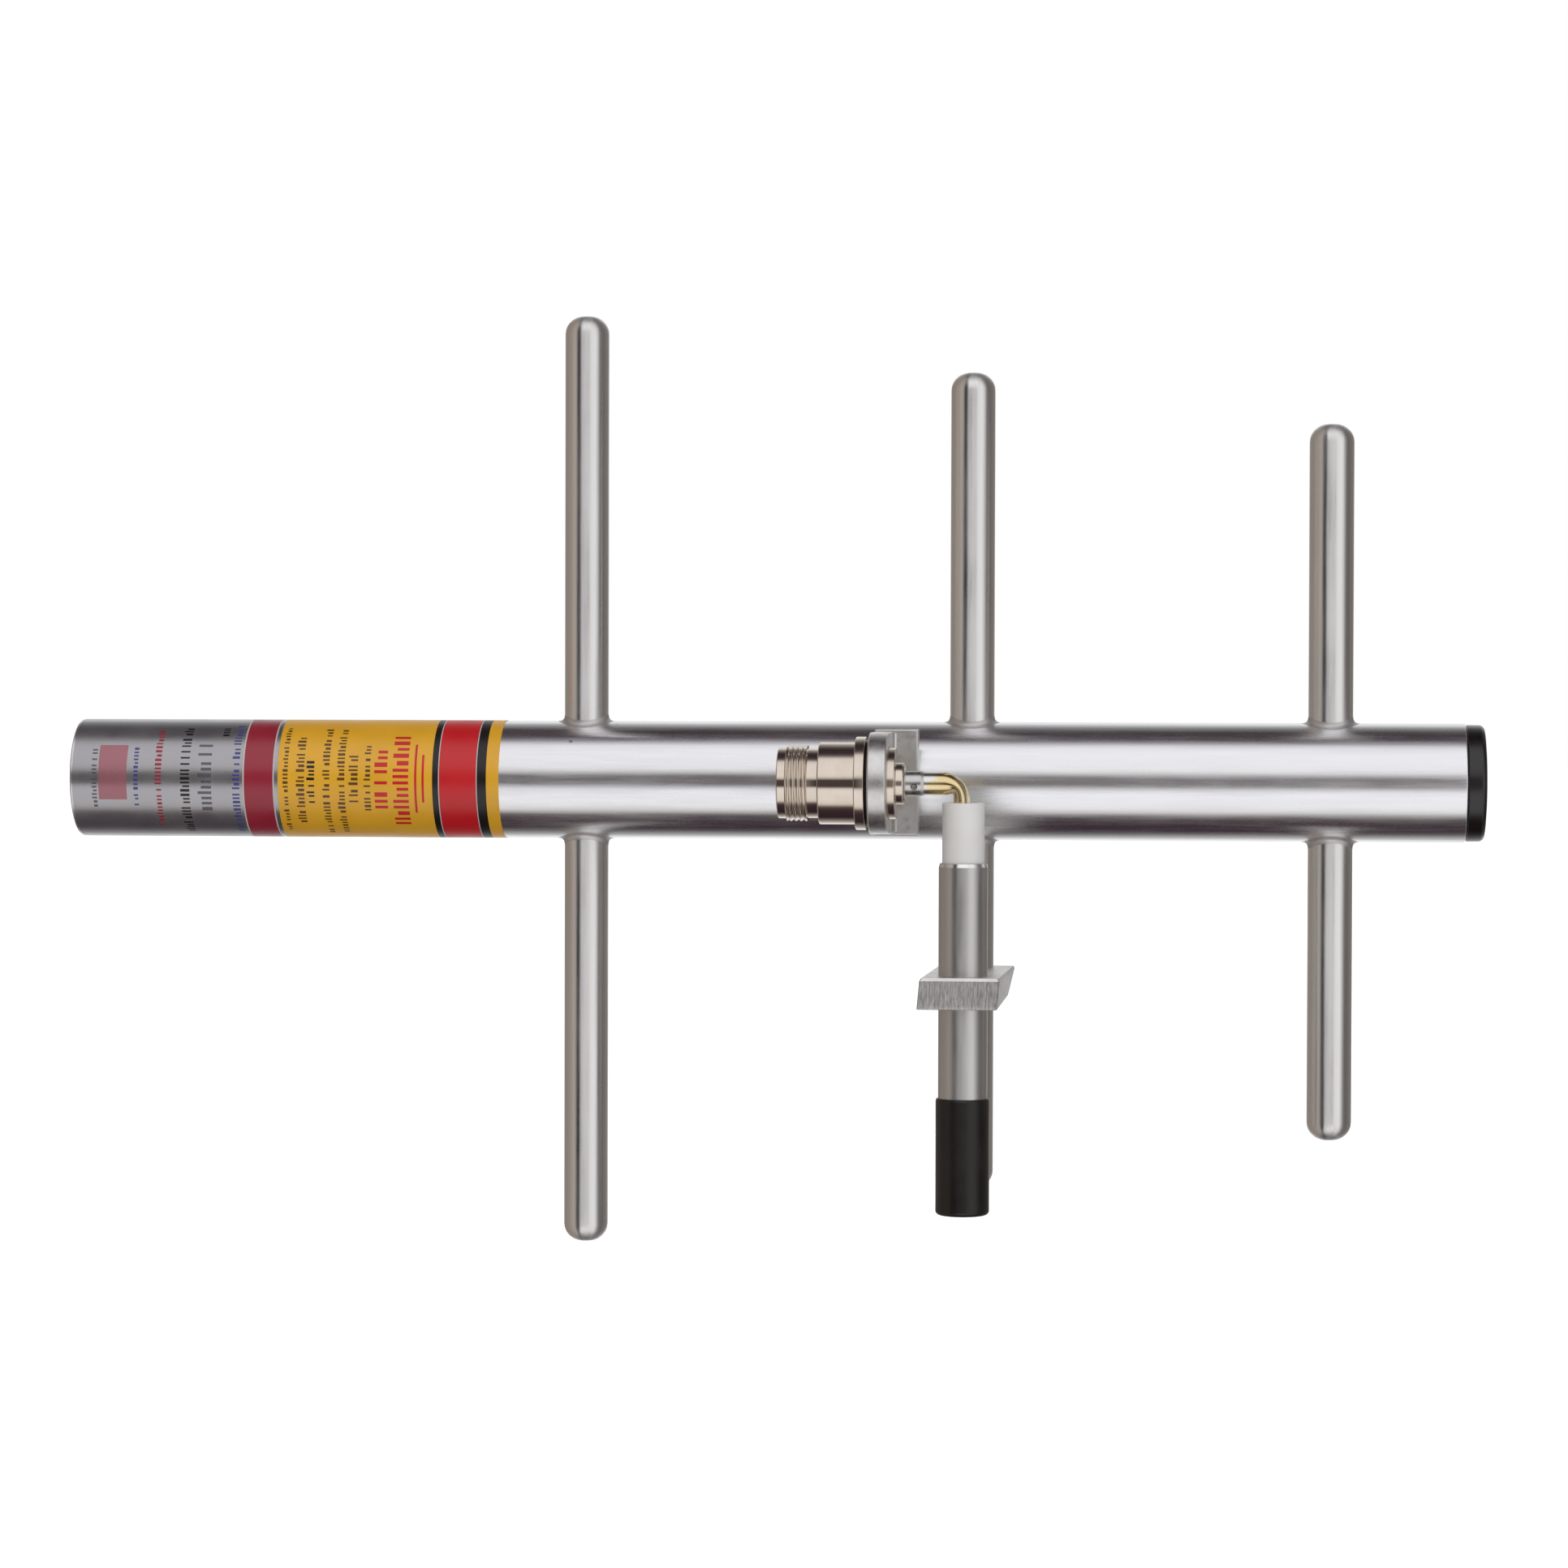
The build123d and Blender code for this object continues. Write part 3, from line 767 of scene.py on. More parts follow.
yellow_marks = [
    *ticks(46.9, 48.0, -13.0, 13.0, "brown", 11.0),
    *ticks(49.8, 51.6, -10.4, 9.8, "brown", 12.0),
    *ticks(52.1, 53.8, -5.2, 4.4, "black", 13.0),
    *ticks(55.6, 57.1, -14.5, 13.0, "brown", 14.0),
    *ticks(58.8, 60.4, -14.0, 12.5, "brown", 15.0),
    *ticks(61.3, 63.3, -5.0, 5.6, "brown", 16.0),
    *ticks(64.6, 66.0, -7.0, 7.6, "brown", 17.0),
    *ticks(66.9, 69.7, -6.4, 7.0, "red", 18.0, 0.34),
    *ticks(70.9, 74.3, -11.0, 11.0, "red", 19.0, 0.34),
    (75.6, 76.1, -7.5, 8.0, "red"),
    (77.2, 77.7, -5.0, 5.5, "red"),
    (79.5, 91.2, *FULL_TURN, "black"),
    (80.8, 81.0, *FULL_TURN, "pale"),
    (81.0, 89.0, *FULL_TURN, "red"),
    (89.0, 89.2, *FULL_TURN, "pale"),
]
grey_film, grey_inks = wrap_label("grey_label_film", (0.6, 45.78), grey_marks, "silver", 21.0)
dressed(grey_film, grey_inks, "antenna", "grey_label_film", "grey_label")
yellow_film, yellow_inks = wrap_label("yellow_label_film", (45.82, 93.9), yellow_marks, "yellow", 22.0)
dressed(yellow_film, yellow_inks, "antenna", "yellow_label_film", "yellow_label")


# ---------------------------------------------------------------- bracket
def plate_rings(outline, start, end, ease, place):
    """Rings of a plate whose two faces have rounded rims; place turns (u, v, w) into a point."""
    middle = Vector((sum(p[0] for p in outline), sum(p[1] for p in outline))) / len(outline)
    count = len(outline)
    inward = []
    for k in range(count):
        a, b = Vector(outline[k - 1]), Vector(outline[(k + 1) % count])
        side = (b - a).normalized()
        normal = Vector((-side.y, side.x))
        if normal.dot(middle - Vector(outline[k])) < 0:
            normal = -normal
        inward.append(normal)
    rim = [(ease * (1 - math.sin(t)), ease * (1 - math.cos(t))) for t in (math.pi / 8 * k for k in range(5))]
    levels = [(start + depth, inset) for depth, inset in rim[::-1]]
    levels += [(end - depth, inset) for depth, inset in rim]
    return [
        [place(p[0] + n.x * inset, p[1] + n.y * inset, level) for p, n in zip(outline, inward)]
        for level, inset in levels
    ]


def round_tool(axis, origin, radius, start, end, flare, segments=96):
    """The skin of a hole with softened mouths."""
    profile = [
        (start - 1.0, 0),
        (start - 1.0, radius + flare + 1.0),
        (start, radius + flare),
        (start + flare, radius),
        (end - flare, radius),
        (end, radius + flare),
        (end + 1.0, radius + flare + 1.0),
        (end + 1.0, 0),
    ]
    return turned(profile, origin, axis, segments)


tongue = [(FOOT_FACE_Y + 2.5, -LEG_R), (GAMMA_Y, -LEG_R)]
tongue += [
    (GAMMA_Y - LEG_R * math.sin(math.pi * k / 48), -LEG_R * math.cos(math.pi * k / 48))
    for k in range(1, 48)
]
tongue += [(GAMMA_Y, LEG_R), (FOOT_FACE_Y + 2.5, LEG_R)]
leg = mesh_piece(
    "connector_bracket_bent",
    capped(plate_rings(tongue, LEG_X, LEG_X + PLATE, 0.4, lambda u, v, w: (w, u, v))),
)
foot_outline = eased(
    [
        (LEG_X, -FOOT_HALF_WIDTH, 0.5),
        (FOOT_END_X, -FOOT_HALF_WIDTH, 0.5),
        (FOOT_END_X, FOOT_HALF_WIDTH, 0.5),
        (LEG_X, FOOT_HALF_WIDTH, 0.5),
    ],
    closed=True,
)
foot = mesh_piece(
    "foot",
    capped(plate_rings(foot_outline, FOOT_FACE_Y, FOOT_BACK_Y, 0.4, lambda u, v, w: (u, w, v))),
)
corner_x = LEG_X + PLATE
corner = [(corner_x - 0.3, FOOT_FACE_Y + 0.3), (corner_x - 0.3, FOOT_FACE_Y - 1.0)]
corner += [
    (corner_x + 1.0 - math.cos(math.pi / 2 * k / 6), FOOT_FACE_Y - 1.0 + math.sin(math.pi / 2 * k / 6))
    for k in range(7)
]
corner += [(corner_x + 1.0, FOOT_FACE_Y + 0.3)]
gusset = mesh_piece(
    "gusset",
    capped([[(a, b, z) for a, b in corner] for z in (-LEG_R + 0.3, LEG_R - 0.3)]),
)
joined(leg, foot, "UNION")
joined(leg, gusset, "UNION")
cut(leg, round_tool("X", (0, GAMMA_Y, 0), SHANK_R + 0.04, LEG_X, corner_x, 0.25))
shaded(leg)
dressed(leg, bracket_metal, "antenna", "bracket_aluminium", "connector_bracket")

bracket_beads = []
for side in (1, -1):
    rings = []
    steps = 60
    for k in range(steps + 1):
        u = k / steps
        x = 175.8 + 7.8 * u
        end = min(1.0, 5 * min(u, 1 - u) + 0.15)
        ripple = 0.10 * (1 - abs(math.sin(7 * math.pi * u))) * end
        toe_top = Vector((FOOT_BACK_Y + 0.1, 10.9 * (0.97 + 0.03 * end)))
        toe_depth = 6.3 + 0.5 * (1 - end)
        toe_boom = Vector((-toe_depth, math.sqrt(BOOM_R**2 - toe_depth**2)))
        root = Vector((-10.0, 7.6))
        pull = (toe_top + toe_boom) / 2 * 0.72 + root * 0.28 + Vector((-0.5, 0.8)) * (0.6 * end)
        section = [
            p + Vector((-0.35, 0.94)) * ripple * math.sin(math.pi * j / 8)
            for j, p in enumerate(drawn_curve(toe_top, pull, toe_boom))
        ]
        section += [toe_boom - Vector((0.1, 0.25)), root, Vector((FOOT_BACK_Y + 0.1, 6.0))]
        rings.append([(x, p.x, side * p.y) for p in section])
    bracket_beads.append(capped(rings))
bead = mesh_piece("bracket_weld_beads", together(*bracket_beads), sharp=50)
dressed(bead, weld_metal, "antenna", "weld_aluminium", "bracket_welds")


# ---------------------------------------------------------------- connector
def helix(start, end, pitch, depth, runout, low, high):
    """A screw thread cut into a turned skin between start and end, for radii low to high."""

    def reach(along, angle, radius):
        if not (start - 0.01 <= along <= end + 0.01 and low < radius < high):
            return 0.0
        fade = min(1.0, max(0.0, min(along - start, end - along) / runout))
        phase = ((along - start) / pitch - angle / TAU) % 1.0
        groove = abs(2 * phase - 1)
        groove = min(1.0, max(0.0, (groove - 0.08) / 0.84))
        groove = groove * groove * (3 - 2 * groove)
        return -depth * (1 - groove) * fade

    return reach


JACK_AT = (0, GAMMA_Y, 0)
jack_corners = [
    (MOUTH_X, SOCKET_R, 0.2),
    (MOUTH_X, RIM_R, 0.25),
    (THREAD[0] - 0.1, RIM_R, 0.1),
    (THREAD[0], THREAD_R),
    (THREAD[1], THREAD_R),
    (THREAD[1] + 0.15, NECK_R, 0.1),
    (BARREL_X, NECK_R, 0.12),
    (BARREL_X, BARREL_R, 0.3),
    (FLANGE_X, BARREL_R, 0.12),
    (FLANGE_X, FLANGE_R, 0.2),
    (FLANGE_END_X, FLANGE_R, 0.2),
    (FLANGE_END_X, 8.9),
    (FLANGE_END_X, 7.7),
    (LEG_X, 7.7),
    (LEG_X, SHANK_R - 0.02),
    (LEG_X + PLATE, SHANK_R - 0.02),
    (COLLAR_X, SHANK_R - 0.02, 0.2),
    (COLLAR_X, COLLAR_R, 0.15),
    (JACK_END_X, COLLAR_R, 0.7),
    (JACK_END_X, JACK_BORE_R),
    (INSULATOR_X, JACK_BORE_R),
    (INSULATOR_X, 4.05),
    (MOUTH_X + 4.5, 4.05),
    (MOUTH_X + 4.5, SOCKET_R, 0.08),
]
jack_profile = divided(
    eased(jack_corners, closed=True), 0.07, THREAD[0] - 0.01, THREAD[1] + 0.01, closed=True
)
front_thread = helix(*THREAD, THREAD_PITCH, 0.30, 0.35, 7.6, 8.0)
jack_skin = turned(jack_profile, JACK_AT, segments=160, reach=front_thread, closed=True)
jack = mesh_piece("jack_shell", jack_skin, sharp=28)
dressed(jack, nickel, "antenna", "nickel", "connector_body")

gasket_corners = [
    (FLANGE_END_X + 0.01, 7.75, 0.15),
    (FLANGE_END_X + 0.01, 8.8, 0.28),
    (LEG_X - 0.02, 8.8, 0.28),
    (LEG_X - 0.02, 7.75, 0.15),
]
gasket = spun("jack_gasket", gasket_corners, JACK_AT, segments=128)
dressed(gasket, gasket_rubber, "antenna", "rubber_gasket", "connector_gasket")

insulator_corners = [
    (INSULATOR_X, CONTACT_R),
    (INSULATOR_X, JACK_BORE_R - 0.02, 0.2),
    (JACK_END_X - 0.02, JACK_BORE_R - 0.02, 0.15),
    (JACK_END_X - 0.02, 2.65, 0.1),
    (CONTACT_SHOULDER_X, 2.65),
    (CONTACT_SHOULDER_X, CONTACT_R),
]
insulator = spun("jack_insulator", insulator_corners, JACK_AT)
dressed(insulator, ptfe, "antenna", "ptfe", "connector_dielectric")

contact_corners = [
    (166.3, 0),
    (166.3, 0.85),
    (160.8, 0.85, 0.2),
    (160.8, CONTACT_R, 0.3),
    (CONTACT_SHOULDER_X, CONTACT_R),
    (CONTACT_SHOULDER_X, POT_R, 0.1),
    (POT_END_X, POT_R, 0.1),
    (POT_END_X, ROD_R, 0.08),
    (ROD_START_X - 0.02, ROD_R),
    (ROD_START_X - 0.02, 0),
]
contact = spun("jack_contact", contact_corners, JACK_AT, closed=False)
for size_y, size_z in ((1.9, 0.15), (0.15, 1.9)):
    rings = [
        [
            (x, GAMMA_Y - size_y, -size_z),
            (x, GAMMA_Y + size_y, -size_z),
            (x, GAMMA_Y + size_y, size_z),
            (x, GAMMA_Y - size_y, size_z),
        ]
        for x in (160.0, 165.0)
    ]
    cut(contact, capped(rings))


def solder_port():
    """The skin of the small hole through the pot's wall and into the rod."""
    profile = [(-4.0, 0), (-4.0, 1.1), (-2.85, 1.0), (-2.4, 0.62), (-0.2, 0.6), (-0.2, 0)]
    return turned(profile, (184.4, GAMMA_Y, -0.8), "Y", 40)


cut(contact, solder_port())
shaded(contact, 40)


def contact_plating():
    """Gold on the mating end, tinned on the solder end."""
    paint = Finish("contact_plating", Metallic=1.0)
    along = paint.node("ShaderNodeSeparateXYZ", {0: paint.place}).outputs[0]
    tinned = paint.range(along, 0.1780, 0.1784)
    clouds = paint.noise(700.0, detail=4.0)
    tin = paint.mix(paint.swing(clouds), (0.57, 0.56, 0.54), (0.66, 0.65, 0.63))
    bright = paint.mix(paint.swing(clouds), (0.90, 0.68, 0.30), (0.95, 0.76, 0.40))
    return paint.coat(
        paint.mix(tinned, bright, tin),
        paint.swing(clouds, 0.22, 0.32),
        paint.bump(clouds, 0.004),
    )


dressed(contact, contact_plating(), "antenna", "gold_contact", "connector_center_contact")


def solder_lumps(x, a, r):
    """Unevenness of the fillet, beyond the pot's wall."""
    return 0.03 * noise.noise(Vector((x * 2, 2 * math.cos(a), 2 * math.sin(a)))) if r > 2.44 else 0.0


solder_corners = [
    (POT_END_X - 0.18, 2.3),
    (POT_END_X - 0.18, 2.63, 0.05),
    (POT_END_X + 0.05, 2.62),
    (POT_END_X + 0.22, 2.55),
    (POT_END_X + 0.4, 2.47),
    (POT_END_X + 0.7, 2.40),
    (POT_END_X + 0.7, 2.3),
]
solder = spun("solder_fillet", solder_corners, JACK_AT, segments=80, reach=solder_lumps)
dressed(solder, solder_metal, "antenna", "solder", "solder_joint")

# ---------------------------------------------------------------- gamma match
rod_sides = [((ROD_START_X + 0.35 * k, ROD_R), (ROD_START_X + 0.35 * k, -ROD_R)) for k in range(24)]
for k in range(25):
    t = math.pi / 2 * k / 24
    c, s = max(0.0, math.cos(t)), math.sin(t)
    dent = math.sin(2 * t) ** 2
    outer = (BEND_X + 5.75 * s, BEND_Z + 5.88 * c)
    inner = (BEND_X + 2.35 * s**0.6 + 0.25 * dent, BEND_Z + 1.12 * c**0.6 + 0.45 * dent)
    rod_sides.append((outer, inner))
for k in range(1, 31):
    z = BEND_Z + (ROD_END_Z - BEND_Z) * (k / 30) ** 1.6
    round_again = min(1.0, (BEND_Z - z) / 6.0)
    round_again = round_again * round_again * (3 - 2 * round_again)
    half = 1.7 + (ROD_R - 1.7) * round_again
    middle = 194.25 + (GAMMA_X - 194.25) * round_again
    rod_sides.append(((middle + half, z), (middle - half, z)))
rod_rings = [[(ROD_START_X, GAMMA_Y, 0.0)]]
for index, (outer, inner) in enumerate(rod_sides):
    swell = 0.88 if index == 0 else 1.0
    middle = ((outer[0] + inner[0]) / 2, (outer[1] + inner[1]) / 2)
    half = (outer[0] - middle[0], outer[1] - middle[1])
    thin = math.hypot(*half) / ROD_R
    wide = ROD_R * (1 + 0.45 * (1 - thin)) * swell
    ring = []
    for k in range(64):
        a = TAU * k / 64
        up, out = math.cos(a) * swell, wide * math.sin(a)
        ring.append((middle[0] + half[0] * up, GAMMA_Y + out, middle[1] + half[1] * up))
    rod_rings.append(ring)
rod_rings.append([(GAMMA_X, GAMMA_Y, ROD_END_Z)])
gamma_rod = mesh_piece("gamma_rod_bent", loft(rod_rings))
cut(gamma_rod, solder_port())
shaded(gamma_rod, 40)
dressed(gamma_rod, brass_rod, "antenna", "brass_rod", "gamma_rod")

GAMMA_AT = (GAMMA_X, GAMMA_Y, 0)


def sleeve_wave(z, a, r):
    """Unevenness of the sleeve's outside."""
    return 0.02 * noise.noise(Vector((z / 9, math.cos(a), math.sin(a)))) if r > 3 else 0.0


sleeve_corners = [
    (SLEEVE_Z[0], SLEEVE_BORE_R),
    (SLEEVE_Z[0], SLEEVE_R, 0.25),
    (SLEEVE_Z[1], SLEEVE_R, 0.22),
    (SLEEVE_Z[1], SLEEVE_BORE_R, 0.12),
]
sleeve = spun("ptfe_sleeve_cut", sleeve_corners, GAMMA_AT, "Z", reach=sleeve_wave, step=2.0)
dressed(sleeve, ptfe, "antenna", "ptfe", "ptfe_sleeve")

drawing_wave = rippled(0.008, 20.0, 1.8, 31.0)


def tube_wave(z, a, r):
    """Unevenness of the gamma tube's outside."""
    return drawing_wave(z, a, r) if r > 5.1 else 0.0


RIM_DEPTH = 0.8
tube_corners = [
    (TUBE_Z[0], TUBE_BORE_R),
    (TUBE_Z[0], TUBE_R, 0.15),
    (TUBE_Z[1] - RIM_DEPTH, TUBE_R),
    (TUBE_Z[1] - 0.06, 4.93),
    (TUBE_Z[1], 4.85),
    (TUBE_Z[1], TUBE_BORE_R, 0.05),
]
tube = spun("gamma_tube_drawn", tube_corners, GAMMA_AT, "Z", reach=tube_wave, step=2.0, sharp=12)
dressed(tube, gamma_metal, "sliding_tube", "gamma_aluminium", "gamma_tube")
rim_z = ((TUBE_Z[1] - RIM_DEPTH + 0.01) * MM, (TUBE_Z[1] - 0.07) * MM)
faced(tube, cut_metal, lambda face: rim_z[0] < face.center.z < rim_z[1] and face.normal.z > 0.1)

vinyl_wave = rippled(0.03, 7.0, 1.3, 41.0)


def dip_wave(z, a, r):
    """Unevenness of the dipped cap's side."""
    return vinyl_wave(z, a, r) - 0.02 if r > 5.3 and z > -89.3 else 0.0


dip_corners = [
    (DIP_Z[0], 0),
    (DIP_Z[0], DIP_R, 1.0),
    (DIP_Z[1] - 0.6, DIP_R + 0.02, 0.3),
    (DIP_Z[1], 5.5, 0.2),
    (DIP_Z[1] - 0.05, TUBE_R + 0.03),
    (TUBE_Z[0], TUBE_R + 0.03, 0.1),
    (TUBE_Z[0], 0),
]
dip_cap = spun("gamma_cap_dipped", dip_corners, GAMMA_AT, "Z", reach=dip_wave, closed=False, step=1.5)
dressed(dip_cap, black_vinyl, "sliding_tube", "black_vinyl", "gamma_end_cap")

# ---------------------------------------------------------------- tuning clamp and its screws
clamp_y0, clamp_y1 = CLAMP_Y


def clamp_start(y, z):
    """Where the block's slanting side that carries the screws lies."""
    u = (y - clamp_y0) / (clamp_y1 - clamp_y0)
    v = (z - CLAMP_BOTTOM_Z) / (CLAMP_TOP_Z - CLAMP_BOTTOM_Z)
    foot = CLAMP_START_X[0] + (CLAMP_START_X[1] - CLAMP_START_X[0]) * u
    return foot + (CLAMP_LEAN[0] + (CLAMP_LEAN[1] - CLAMP_LEAN[0]) * u) * v


def notched(y, outward, seed):
    """The points of one sawn end, each a share of the width and a depth cut by the blade."""
    steps = 110
    points = []
    for k in range(steps + 1):
        u = k / steps
        across = u * CLAMP_WIDTH
        deep = 0.5 + 0.5 * noise.noise(Vector((across * 2.3, seed, 0.0)))
        deep += 0.35 * noise.noise(Vector((across * 6.1, seed, 4.0)))
        fade = min(1.0, 12 * min(u, 1 - u))
        points.append((u, y - outward * 0.05 * deep * fade))
    return points


edge = CLAMP_EASE / CLAMP_WIDTH
front_points = [(edge + u * (1 - 2 * edge), y) for u, y in notched(clamp_y0, -1, 3.3)]
back_points = [(edge + u * (1 - 2 * edge), y) for u, y in notched(clamp_y1, 1, 8.1)]
side_steps = [clamp_y0 + CLAMP_EASE + (clamp_y1 - clamp_y0 - 2 * CLAMP_EASE) * k / 12 for k in range(13)]
block_outline = front_points + [(1.0, y) for y in side_steps]
block_outline += back_points[::-1] + [(0.0, y) for y in side_steps[::-1]]


def clamp_place(u, v, w):
    """A point of the block from its share across the width, its Y and its Z."""
    return (clamp_start(v, w) + u * CLAMP_WIDTH, v, w)


block_rings = []
levels = [
    (CLAMP_BOTTOM_Z + CLAMP_EASE * (1 - math.sin(t)), 1 - math.cos(t)) for t in (1.5708, 1.05, 0.52, 0.0)
]
plain_height = CLAMP_TOP_Z - CLAMP_BOTTOM_Z - 3 * CLAMP_EASE
levels += [(CLAMP_BOTTOM_Z + CLAMP_EASE + plain_height * k / 8, 0.0) for k in range(1, 8)]
levels += [(CLAMP_TOP_Z - CLAMP_CHAMFER, 0.0), (CLAMP_TOP_Z - 0.04, 1.4), (CLAMP_TOP_Z, 1.5)]
middle_y = (clamp_y0 + clamp_y1) / 2
for z, pinch in levels:
    shrink_u = 1 - 2 * pinch * CLAMP_EASE / CLAMP_WIDTH
    shrink_y = 1 - 2 * pinch * CLAMP_EASE / (clamp_y1 - clamp_y0)
    block_rings.append(
        [
            clamp_place(0.5 + (u - 0.5) * shrink_u, middle_y + (y - middle_y) * shrink_y, z)
            for u, y in block_outline
        ]
    )
clamp = mesh_piece("tuning_clamp_sawn", capped(block_rings))
for x, y, radius in ((DRIVEN_X, 0.0, ELEMENT_R + 0.05), (GAMMA_X, GAMMA_Y, TUBE_R + 0.05)):
    cut(clamp, round_tool("Z", (x, y, 0), radius, CLAMP_BOTTOM_Z, CLAMP_TOP_Z, CLAMP_EASE))
    mouth = clamp_start(y, SCREW_Z)
    bore = [
        (mouth - 2.0, 0),
        (mouth - 2.0, 2.9),
        (mouth - 0.5, 2.75),
        (mouth + 0.25, SCREW_HOLE_R),
        (194.0, SCREW_HOLE_R),
        (194.0, 0),
    ]
    cut(clamp, turned(bore, (0, y, SCREW_Z), segments=64))
shaded(clamp, 22)
dressed(clamp, clamp_metal, "clamp", "clamp_aluminium", "tuning_clamp")
faced(clamp, bar_metal, lambda face: abs(face.normal.y) < 0.5)
faced(clamp, bracket_metal, lambda face: 0.2 < face.normal.z < 0.9 and abs(face.normal.y) > 0.5)


def set_screw(name, y, start, end, body, node):
    """A threaded set screw whose key socket faces out on the block's side."""
    count = 72

    def around(x, radius_at):
        angles = [TAU * k / count for k in range(count)]
        return [
            (x, y + radius_at(a) * math.cos(a), SCREW_Z + radius_at(a) * math.sin(a)) for a in angles
        ]

    def circle(x, radius):
        return around(x, lambda a: radius)

    def hexagon(x, apothem):
        return around(x, lambda a: apothem / math.cos((a % (TAU / 6)) - TAU / 12))

    def thread(x):
        fade = max(0.0, min(1.0, (x - start) / 0.5, (end - x) / 0.6))

        def radius_at(a):
            phase = ((x - start) / SCREW_PITCH - a / TAU) % 1.0
            return 1.70 + (0.28 - 0.42 * (1 - abs(2 * phase - 1))) * fade

        return around(x, radius_at)

    rings = [[(start + 2.1, y, SCREW_Z)], hexagon(start + 1.8, 0.98), hexagon(start + 1.79, 1.0)]
    rings += [hexagon(start + 0.16, 1.0), circle(start + 0.02, 1.22), circle(start, 1.26)]
    rings += [circle(start, 1.62), circle(start + 0.06, 1.70)]
    length = end - start
    steps = int(length / 0.06)
    rings += [thread(start + 0.06 + (length - 0.4) * k / steps) for k in range(steps + 1)]
    rings += [circle(end - 0.12, 1.45), circle(end, 1.1), circle(end, 0.95), [(end - 0.5, y, SCREW_Z)]]
    screw = mesh_piece(name, loft(rings), sharp=35)
    return dressed(screw, screw_steel, body, "screw_steel", node)


element_reach = DRIVEN_X - ELEMENT_R - 0.12
tube_reach = GAMMA_X - TUBE_R - 0.12
set_screw("element_screw_cut", 0.0, ELEMENT_SCREW_X, element_reach, "element_screw", "element_set_screw")
set_screw("tube_screw_cut", GAMMA_Y, TUBE_SCREW_X, tube_reach, "tube_screw", "tube_set_screw")

# ---------------------------------------------------------------- floor, light and camera
FLOOR_AT = (150.0, 0.0, -230.0)
floor_profile = [(0.0, radius) for radius in (0, 400, 900, 1600, 3000, 6000, 14000)]
floor = mesh_piece("floor", turned(floor_profile, FLOOR_AT, "Z", 64))
floor_paint = Finish("floor_paper", Emission_Color=(1.0, 1.0, 1.0), Emission_Strength=0.8)
paper = floor_paint.noise(40.0, detail=4.0)
floor_paint.set("Base Color", floor_paint.mix(paper, (0.93, 0.93, 0.93), (0.96, 0.96, 0.96)))
floor_paint.set("Roughness", 0.9)
floor.data.materials.append(floor_paint.material)
floor.visible_glossy = False
floor.visible_diffuse = False
floor.visible_transmission = False
floor.visible_shadow = False


# Brightness of the studio by direction in degrees: a colour, or one number for a grey
UPRIGHT_STOPS = [
    (-180, 1.0), (-151, 0.95), (-140, 0.52), (-128, 0.28), (-120, (0.13, 0.11, 0.115)),
    (-110, (0.035, 0.022, 0.030)), (-84, (0.05, 0.032, 0.042)), (-76, (0.07, 0.055, 0.055)),
    (-70, (0.14, 0.12, 0.12)), (-65, (0.48, 0.45, 0.44)), (-59, (0.87, 0.85, 0.84)), (-50, 0.97),
    (-22, (1.02, 1.02, 1.05)), (-16, (0.93, 0.92, 0.95)), (-12, (0.50, 0.48, 0.49)),
    (-8.5, (0.10, 0.085, 0.085)), (9.5, (0.10, 0.085, 0.085)), (14, (0.50, 0.48, 0.47)),
    (19, (0.90, 0.89, 0.89)), (26, (0.98, 0.98, 0.99)), (55, (1.0, 1.0, 1.03)),
    (68, (0.95, 0.95, 0.97)), (75, (0.82, 0.81, 0.83)), (80, (0.45, 0.43, 0.46)),
    (86, (0.14, 0.12, 0.13)), (94, (0.055, 0.045, 0.055)), (108, (0.045, 0.032, 0.038)),
    (118, (0.08, 0.065, 0.07)), (127, 0.20), (138, 0.42), (152, 0.88),
]
SIDEWAYS_STOPS = [
    (-180, 0.90), (-170, 0.75), (-160, 0.34), (-150, (0.27, 0.24, 0.22)), (-120, (0.27, 0.235, 0.205)),
    (-96, (0.31, 0.265, 0.235)), (-78, (0.37, 0.32, 0.285)), (-62, (0.45, 0.40, 0.365)),
    (-53, (0.40, 0.365, 0.34)), (-48, 0.20), (-44, 0.01), (-30, 0.01), (-25, 0.20), (-16, 0.52),
    (-6, 0.72), (8, 0.80), (30, 0.82), (52, 0.92), (63, 0.72), (74, 0.30), (82, (0.15, 0.14, 0.135)),
    (98, (0.135, 0.125, 0.12)), (120, (0.19, 0.175, 0.16)), (150, (0.22, 0.20, 0.19)), (160, 0.34),
    (170, 0.75),
]


